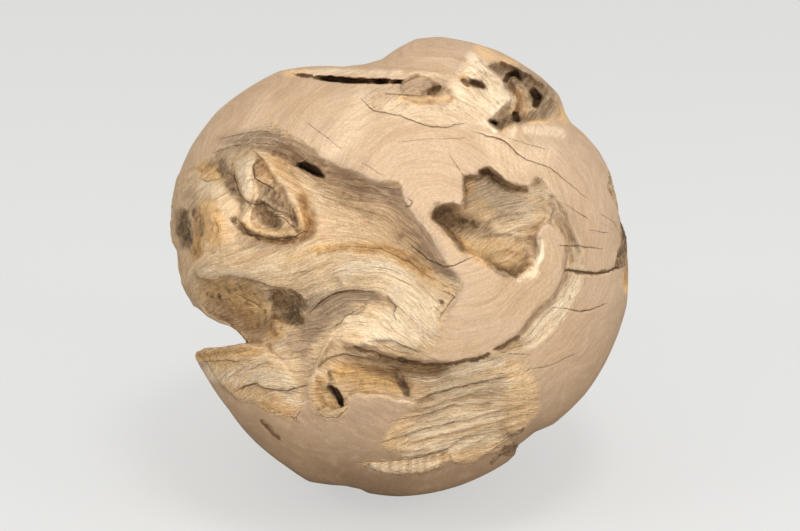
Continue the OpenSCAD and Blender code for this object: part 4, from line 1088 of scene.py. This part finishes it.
def edge_pairs(mesh):
    """The two points of each edge."""
    pairs = np.empty(len(mesh.edges) * 2, np.int64)
    mesh.edges.foreach_get("vertices", pairs)
    return pairs.reshape(-1, 2)


def evened(co, pairs, rounds, share=0.5):
    """Draws each point towards the middle of its neighbours."""
    count = np.bincount(pairs.ravel(), minlength=len(co))[:, None]
    for _ in range(rounds):
        total = np.zeros_like(co)
        for k in range(co.shape[1]):
            total[:, k] = np.bincount(pairs[:, 0], co[pairs[:, 1], k], len(co))
            total[:, k] += np.bincount(pairs[:, 1], co[pairs[:, 0], k], len(co))
        co = co + share * (total / count - co)
    return co


def outward(mesh):
    """Which way the surface looks at each point."""
    normals = np.empty(len(mesh.vertices) * 3)
    mesh.vertices.foreach_get("normal", normals)
    return normals.reshape(-1, 3)


pairs = edge_pairs(ball_mesh)
co = evened(co, pairs, 1)
write_points(ball_mesh, co)
out = outward(ball_mesh)

# Relief of the worn parts: fibres along the grain, lumps, and crumbling under the dark strokes,
# which mark rot and, in the cave and under its lip, painted shade
a, b, worn, grain, below = wood_fields(co)
worn = evened(worn[:, None], pairs, 8)[:, 0]
on_front = smooth((co[:, 2] + 20) / 40)
rot_and_shade_marks = stroke_strength(a, b, "dark") * on_front
gate = smooth(0.5 + 0.9 * rough_at(co, 26, 71, 2))
warp = 5 * rough_at(co, 30, 73, 2)
bundles = ripple((grain + 2 * warp) / 15, a / 90, b / 90, 4)
fibres = ripple((grain + warp) / 7, a / 60, b / 60, 5)
fine_fibres = ripple((grain + warp) / 3.6, a / 30, b / 30, 9)
folds = 1 - 2.4 * abs(ripple((grain + 1.6 * warp) / 12, a / 45, b / 45, 15))
on_crown = (in_outline(a, b, crown) > 0) * on_front
crumbs, knobs = rough_at(co, 7, 41), rough_at(co, 15, 81)
lumps, swells = rough_at(co, 34, 31), rough_at(co, 60, 51)
threads = (0.4 + gate) * (0.8 * fibres + 0.5 * fine_fibres)
height = worn * (1.3 * gate * folds + threads + 1.8 * lumps + (1.0 + 2.6 * on_crown) * knobs)
height += worn * (0.35 * bundles + 0.5 * crumbs)
ribs = (in_outline(a, b, scar) > 0) * on_front * np.sin(a / 1.6 + 2 * lumps)
height += 0.8 * ribs + rot_and_shade_marks * 2.4 * crumbs + (1 - worn) * 0.5 * swells
for name in cracks:
    off, close = crack_field(co, name)
    height -= 1.2 * smooth(1.4 - np.abs(off) * 0.5) * close
write_points(ball_mesh, co + out * height[:, None])

# The flat foot, then fewer faces where the form is plain. The relief has grown the ball by
# up to 1 mm past its size, so each side is first drawn in to it, with a hair to spare
co = to_frame(read_points(ball_mesh))
hair = 0.0002
for axis, (low, high) in enumerate(zip(*cad_box)):
    reach = co[:, axis]
    above = min(1.0, (high - hair) / reach.max())
    below = min(1.0, (low + hair) / reach.min()) if low < 0 else 1.0
    co[:, axis] = reach * np.where(reach > 0, above, below)
write_points(ball_mesh, co)
foot = bmesh.new()
foot.from_mesh(ball_mesh)
cut_geom = list(foot.verts) + list(foot.edges) + list(foot.faces)
cut_result = bmesh.ops.bisect_plane(
    foot, geom=cut_geom, plane_co=(0, 0, 0), plane_no=(0, 0, -1), clear_outer=True
)
rim_edges = [e for e in cut_result["geom_cut"] if isinstance(e, bmesh.types.BMEdge)]
bmesh.ops.holes_fill(foot, edges=rim_edges, sides=0)
bmesh.ops.triangulate(foot, faces=foot.faces)
foot.to_mesh(ball_mesh)
foot.free()
face_limit = 192000
group = ball.vertex_groups.new(name="may_go")
facing = smooth((from_frame(read_points(ball_mesh))[:, 2] + 60) / 120)
for level in range(10):
    some = np.flatnonzero((facing * 9.99).astype(int) == level)
    group.add(some.tolist(), 1.0 - 0.08 * level, "REPLACE")
fewer = ball.modifiers.new("fewer_faces", "DECIMATE")
fewer.ratio = min(1.0, face_limit / len(ball_mesh.polygons))
fewer.vertex_group = group.name
apply_modifiers(ball)
ball_mesh = ball.data
ball_mesh.name = "root_ball_wood"
# Flakes of two faces back to back, which the decimation leaves apart from the ball, go
whole = bmesh.new()
whole.from_mesh(ball_mesh)
flakes = [f for f in whole.faces if len({g for e in f.edges for g in e.link_faces} - {f}) < 2]
bmesh.ops.delete(whole, geom=flakes, context="FACES")
whole.to_mesh(ball_mesh)
whole.free()
print("ball faces", len(ball_mesh.polygons), "flakes taken away", len(flakes))

# THE BALL, its finish
# Bare root wood, bleached by sun and sanded, never sealed. Sanded parts are even and pinkish
# beige with faint growth layers. Worn parts are paler and fibrous, and ochre or nearly black
# where water has stood and rot has been. Shade is painted in as well: grey-brown under lips
# and in hollows, dark in caves, holes and deep places, at the foot of layer edges and towards
# the foot of the ball. Painted highlights lie on layer brows and crests, and painted light
# low down on the worn parts.
points = from_frame(read_points(ball_mesh))
a, b, worn, grain, below = wood_fields(points)
on_front = smooth((points[:, 2] + 20) / 40)
pairs = edge_pairs(ball_mesh)
worn = evened(worn[:, None], pairs, 5)[:, 0]
in_crown = (in_outline(a, b, crown) > 0) * on_front
torn = np.zeros(len(points))  # where the grain jumps, fibres would show as a drawn line
jump = abs(grain[pairs[:, 0]] - grain[pairs[:, 1]])
length = np.linalg.norm(points[pairs[:, 0]] - points[pairs[:, 1]], axis=1)
torn[pairs[(jump > 8) & (jump > 3 * length)].ravel()] = 1
torn = np.minimum(1, 2 * evened(torn[:, None], pairs, 2)[:, 0]) * on_front
out = outward(ball_mesh)
s, c = math.sin(front_tilt), math.cos(front_tilt)
out_view = np.stack((out[:, 0], out[:, 1] * s + out[:, 2] * c, out[:, 2] * s - out[:, 1] * c), 1)
sunken_fine = np.sum((evened(points, pairs, 2) - points) * out_view, axis=1)
sunken = np.sum((evened(points, pairs, 8) - points) * out_view, axis=1)
sunken_wide = np.sum((evened(points, pairs, 90) - points) * out_view, axis=1)
side_rot = smooth(rough_at(points, 46, 61) * 1.4 - 0.1) * (1 - on_front)
fields = {
    "worn": worn, "grain": grain, "rings": rings(points), "deep": below,
    "sunken_fine": sunken_fine, "sunken": sunken, "sunken_wide": sunken_wide,
}
for kind in stain_and_shade_strokes:
    fields[kind] = stroke_strength(a, b, kind) * on_front
fields["hole"] = hole_field(a, b) * on_front
foot_dark, brow_pale = layer_edges(a, b)
fields["foot_dark"], fields["brow_pale"] = foot_dark * on_front * worn, brow_pale * on_front * worn
fields["fibrous"] = worn * (1 - 0.8 * in_crown) * (1 - torn)
fields["worn"] = worn * (1 - 0.5 * in_crown) * (1 - torn)
fields["dark"] += 0.5 * side_rot * worn
fields["ochre"] += 0.6 * side_rot * worn
for name in cracks:
    fields[name], fields[name + "_near"] = crack_field(points, name)
for name, values in fields.items():
    layer = ball_mesh.attributes.new(name, "FLOAT", "POINT")
    layer.data.foreach_set("value", np.ascontiguousarray(values, np.float32))

wood = bpy.data.materials.new("bleached_root_wood")
wood.use_nodes = True
nodes, links = wood.node_tree.nodes, wood.node_tree.links
shader = nodes["Principled BSDF"]


def join(value, socket):
    """Links a socket, or writes a number or a colour of red, green and blue."""
    if isinstance(value, bpy.types.NodeSocket):
        links.new(value, socket)
    elif isinstance(value, tuple):
        socket.default_value = (*value, 1.0)
    else:
        socket.default_value = value


def field(name):
    """What the ball's points hold under a name."""
    node = nodes.new("ShaderNodeAttribute")
    node.attribute_name = name
    return node.outputs["Fac"]


def maths(kind, *values):
    node = nodes.new("ShaderNodeMath")
    node.operation = kind
    for value, socket in zip(values, node.inputs):
        join(value, socket)
    return node.outputs[0]


def times(first, second):
    return maths("MULTIPLY", first, second)


def plus(first, second):
    return maths("ADD", first, second)


def ramp(value, low, high, out_low=0.0, out_high=1.0):
    """A soft step between two outcomes as a value goes from low to high."""
    node = nodes.new("ShaderNodeMapRange")
    node.interpolation_type = "SMOOTHSTEP"
    for item, socket in zip((value, low, high, out_low, out_high), node.inputs):
        join(item, socket)
    return node.outputs[0]


def mixed(share, first, second, kind="MIX"):
    """The second colour laid over the first with a share."""
    node = nodes.new("ShaderNodeMix")
    node.data_type = "RGBA"
    node.blend_type = kind
    join(share, node.inputs[0])
    join(first, node.inputs[6])
    join(second, node.inputs[7])
    return node.outputs[2]


def speckle(vector, scale, detail=3.0, bend=0.0):
    """Noise around 0.5."""
    node = nodes.new("ShaderNodeTexNoise")
    join(vector, node.inputs["Vector"])
    node.inputs["Scale"].default_value = scale
    node.inputs["Detail"].default_value = detail
    node.inputs["Distortion"].default_value = bend
    return node.outputs["Fac"]


where = nodes.new("ShaderNodeTexCoord").outputs["Object"]
split = nodes.new("ShaderNodeSeparateXYZ")
links.new(where, split.inputs[0])
up = split.outputs["Z"]


def along(name, across_per_mm, along_per_m):
    """Coordinates that change fast across the wood's layers and slowly along them."""
    node = nodes.new("ShaderNodeCombineXYZ")
    links.new(times(field(name), across_per_mm), node.inputs[0])
    links.new(times(split.outputs["X"], along_per_m), node.inputs[1])
    links.new(times(up, along_per_m), node.inputs[2])
    return node.outputs[0]


fibrous = field("fibrous")
bundles = speckle(along("grain", 0.10, 10.0), 1.0, 4.0, 1.5)
fibres = speckle(along("grain", 0.28, 28.0), 1.0, 6.0, 1.3)
hairs = speckle(along("grain", 0.95, 75.0), 1.0, 4.0, 1.0)
layers = speckle(along("rings", 0.11, 5.0), 1.0, 5.0, 0.8)
pores = speckle(along("rings", 0.7, 50.0), 1.0, 3.0, 0.5)
blotch = speckle(where, 9.0, 5.0)
mottle = speckle(where, 60.0, 5.0)
crumb = speckle(where, 150.0, 5.0)
grit = speckle(where, 420.0, 3.0)

# Sanded wood: beige, with painted shade making it browner towards the foot, and with blotches,
# growth layers and pores
sanded_foot_shade, sanded_beige = (0.32, 0.212, 0.13), (0.575, 0.42, 0.288)
sanded_tone = mixed(ramp(up, 0.05, 0.2), sanded_foot_shade, sanded_beige)
for share, colour in (
    (ramp(blotch, 0.40, 0.66, 0.0, 0.6), (0.54, 0.365, 0.225)),
    (ramp(layers, 0.5, 0.64, 0.0, 0.38), (0.45, 0.29, 0.17)),
    (ramp(pores, 0.52, 0.70, 0.0, 0.09), (0.88, 0.72, 0.53)),
    (ramp(pores, 0.30, 0.46, 0.13, 0.0), (0.44, 0.27, 0.15)),
):
    sanded_tone = mixed(share, sanded_tone, colour)

# Worn wood: cream and tan fibres, brown in bundles and spots, with painted shade in deep places and
# a painted warm tint of bounced light low down
fibre_tan, fibre_cream, painted_low_bounce_gold = (0.80, 0.555, 0.33), (0.93, 0.70, 0.45), (1.0, 0.92, 0.80)
worn_tone = mixed(ramp(fibres, 0.36, 0.62), fibre_tan, fibre_cream)
for share, colour in (
    (ramp(bundles, 0.5, 0.68, 0.0, 0.32), (0.70, 0.45, 0.245)),
    (ramp(mottle, 0.48, 0.66, 0.0, 0.24), (0.64, 0.40, 0.205)),
    (ramp(field("deep"), 16.0, 50.0, 0.0, 0.14), (0.55, 0.345, 0.18)),
):
    worn_tone = mixed(share, worn_tone, colour)
worn_tone = mixed(ramp(up, 0.14, 0.30, 0.8, 0.0), worn_tone, painted_low_bounce_gold, "MULTIPLY")

# Pale hairs, then the strokes of stain and of painted shade and light, each broken up by the fibres
# or spots it lies on
tone = mixed(fibrous, sanded_tone, worn_tone)
rust_red, shadow_brown = (0.36, 0.175, 0.06), (0.18, 0.105, 0.052)
for amount, broken_by, colour in (
    (fibrous, ramp(hairs, 0.52, 0.66, 0.0, 0.3), (0.96, 0.81, 0.60)),
    (field("pale"), ramp(fibres, 0.36, 0.58, 0.35, 0.95), (1.0, 0.83, 0.60)),
    (field("grey"), ramp(fibres, 0.38, 0.60, 0.95, 0.6), (0.32, 0.23, 0.17)),
    (field("ochre"), ramp(mottle, 0.3, 0.62, 0.6, 1.0), (0.94, 0.60, 0.265)),
    (field("ochre"), ramp(crumb, 0.52, 0.66, 0.0, 0.45), (0.40, 0.21, 0.085)),
    (field("rust"), ramp(crumb, 0.36, 0.6, 0.55, 1.0), rust_red),
    (field("shade"), ramp(fibres, 0.36, 0.62, 0.88, 0.62), shadow_brown),
    (field("dark"), 0.4, (0.34, 0.22, 0.11)),
):
    tone = mixed(times(amount, broken_by), tone, colour)

# Rot eats in from the dark strokes in crumbs; where those strokes lie in the cave and under its
# lip, this is painted shade
rot_and_shade_black, rot_and_shade_brown = (0.06, 0.038, 0.022), (0.24, 0.155, 0.08)
rot_and_painted_shade = plus(field("dark"), times(maths("SUBTRACT", crumb, 0.5), 2.2))
rot_and_painted_shade = times(ramp(rot_and_painted_shade, 0.2, 1.1, 0.0, 0.9), ramp(field("dark"), 0.05, 0.4))
tone = mixed(rot_and_painted_shade, tone, mixed(ramp(mottle, 0.38, 0.62), rot_and_shade_black, rot_and_shade_brown))

# Dark streaks between fibres; painted shade at the foot of layer edges, in sunken and deep places
# and in holes; painted highlights on layer brows and raised crests
streaks = times(ramp(hairs, 0.34, 0.47, 0.25, 0.0), ramp(bundles, 0.38, 0.62, 0.25, 1.0))
raised = times(field("sunken_fine"), -1.0)
painted_hole_shade = times(ramp(field("hole"), 0.45, 0.95, 0.0, 0.9), ramp(mottle, 0.35, 0.6, 0.55, 1.0))
for share, colour in (
    (times(streaks, fibrous), (0.38, 0.22, 0.105)),
    (times(field("brow_pale"), 0.6), (1.0, 0.80, 0.53)),
    (times(field("foot_dark"), 0.75), (0.27, 0.155, 0.08)),
    (ramp(field("sunken_fine"), 0.06, 0.5, 0.0, 0.4), (0.34, 0.195, 0.095)),
    (ramp(field("sunken"), 0.25, 1.5, 0.0, 0.34), (0.30, 0.175, 0.085)),
    (ramp(raised, 0.06, 0.5, 0.0, 0.16), (0.95, 0.79, 0.58)),
    (ramp(field("sunken_wide"), 1.5, 8.0, 0.0, 0.3), (0.34, 0.21, 0.11)),
    (ramp(field("deep"), 55.0, 110.0, 0.0, 0.6), (0.13, 0.075, 0.035)),
    (ramp(field("hole"), 0.05, 0.55, 0.0, 0.75), (0.19, 0.11, 0.055)),
    (painted_hole_shade, (0.11, 0.065, 0.036)),
):
    tone = mixed(share, tone, colour)

# Cracks, with edges that grit makes uneven
crack_brown, bleached_tint = (0.13, 0.066, 0.03), (1.0, 0.962, 0.91)
jitter = times(maths("SUBTRACT", grit, 0.5), 1.6)
crack_all = 0.0
for name in cracks:
    inside = ramp(maths("ABSOLUTE", plus(field(name), jitter)), 0.4, 1.4, 1.0, 0.0)
    crack_all = maths("MAXIMUM", crack_all, times(inside, field(name + "_near")))
tone = mixed(times(crack_all, ramp(mottle, 0.36, 0.56, 0.3, 0.8)), tone, crack_brown)
tone = mixed(1.0, tone, bleached_tint, "MULTIPLY")

# Fine grain in the lightness, worn parts made lighter low down as painted light, matt wood, and
# fibres that stand up from it
fine = times(ramp(pores, 0.3, 0.7, 0.94, 1.04), ramp(grit, 0.3, 0.7, 0.92, 1.07))
painted_low_light = ramp(up, 0.12, 0.30, 0.09, 0.0)
worn_light = plus(ramp(fibrous, 0.0, 1.0, 1.0, 0.97), times(fibrous, painted_low_light))
lightness = nodes.new("ShaderNodeHueSaturation")
links.new(tone, lightness.inputs["Color"])
links.new(times(fine, worn_light), lightness.inputs["Value"])
links.new(lightness.outputs[0], shader.inputs["Base Color"])
links.new(ramp(mottle, 0.3, 0.7, 0.6, 0.76), shader.inputs["Roughness"])
shader.inputs["Specular IOR Level"].default_value = 0.14
relief = plus(times(fibres, 3.0), times(hairs, 1.7))
relief = times(relief, plus(0.05, field("worn")))
relief = plus(relief, times(crumb, ramp(field("dark"), 0.1, 0.6, 0.15, 2.4)))
relief = plus(relief, times(crumb, times(fibrous, 0.9)))
relief = plus(relief, times(grit, 0.14))
relief = maths("SUBTRACT", relief, times(crack_all, 1.2))
bump = nodes.new("ShaderNodeBump")
bump.inputs["Strength"].default_value = 1.0
bump.inputs["Distance"].default_value = 0.0018
links.new(relief, bump.inputs["Height"])
links.new(bump.outputs[0], shader.inputs["Normal"])

ball_mesh.materials.clear()
ball_mesh.materials.append(wood)
ball_mesh.polygons.foreach_set("use_smooth", np.ones(len(ball_mesh.polygons), bool))
ball_mesh.update()
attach(ball, "root")
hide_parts("root_ball")

# The floor and the light
# A wide pale floor under broad soft lamps from above, both sides and the front, as in a studio
# with pale walls. It keeps a faint shadow of the ball.
floor_mesh = bpy.data.meshes.new("floor")
slab = bmesh.new()
bmesh.ops.create_grid(slab, x_segments=1, y_segments=1, size=12.0)
slab.to_mesh(floor_mesh)
slab.free()
floor = bpy.data.objects.new("floor", floor_mesh)
bpy.context.scene.collection.objects.link(floor)
paper = bpy.data.materials.new("pale_floor")
paper.use_nodes = True
nodes, links = paper.node_tree.nodes, paper.node_tree.links
shader = nodes["Principled BSDF"]
shader.inputs["Roughness"].default_value = 0.95
shader.inputs["Specular IOR Level"].default_value = 0.0
grey_paper, pale_paper, paper_glow = (0.34, 0.34, 0.335), (0.485, 0.485, 0.477), (1.12, 1.12, 1.10)
glow_share = 0.46
seen = nodes.new("ShaderNodeLightPath").outputs["Is Camera Ray"]
links.new(mixed(seen, grey_paper, pale_paper), shader.inputs["Base Color"])
glow = nodes.new("ShaderNodeEmission")
join(paper_glow, glow.inputs["Color"])
blend = nodes.new("ShaderNodeMixShader")
links.new(times(seen, glow_share), blend.inputs[0])
links.new(shader.outputs[0], blend.inputs[1])
links.new(glow.outputs[0], blend.inputs[2])
links.new(blend.outputs[0], nodes["Material Output"].inputs["Surface"])
floor_mesh.materials.append(paper)

world = bpy.data.worlds.new("studio")
world.use_nodes = True
sky = world.node_tree.nodes["Background"]
join((1.0, 0.99, 0.975), sky.inputs["Color"])
join(0.66, sky.inputs["Strength"])
bpy.context.scene.world = world


def soft_lamp(name, place, size, power):
    """A round cloth-covered lamp that looks at the middle of the ball."""
    lamp = bpy.data.lights.new(name, "AREA")
    lamp.shape = "DISK"
    lamp.size = size
    lamp.energy = power
    lamp_object = bpy.data.objects.new(name, lamp)
    lamp_object.location = place
    aim = Vector((0, 0, ball_mm / 1000)) - Vector(place)
    lamp_object.rotation_euler = aim.to_track_quat("-Z", "Y").to_euler()
    bpy.context.scene.collection.objects.link(lamp_object)


soft_lamp("overhead", (0.5, -0.9, 3.2), 0.9, 30)
soft_lamp("front", (-0.1, -3.0, 0.7), 1.1, 26)
soft_lamp("low", (0.5, -2.6, 0.35), 0.9, 13)
soft_lamp("left_side", (-2.2, -1.5, 2.2), 1.0, 16)
soft_lamp("right_side", (2.4, -1.5, 1.8), 1.0, 16)

scene = bpy.context.scene
scene.view_settings.view_transform = "Standard"
middle = Vector((0, 0, rest_mm / 1000))
sight = Vector((0, -math.cos(front_tilt), math.sin(front_tilt)))
camera = bpy.data.cameras.new("front")
camera.sensor_width = 36
seen_width = 0.88
camera.lens = camera.sensor_width * (eye_mm / 1000) / seen_width
camera_object = bpy.data.objects.new("front", camera)
camera_object.location = middle + sight * eye_mm / 1000
camera_object.rotation_euler = (-sight).to_track_quat("-Z", "Y").to_euler()
scene.collection.objects.link(camera_object)
scene.camera = camera_object
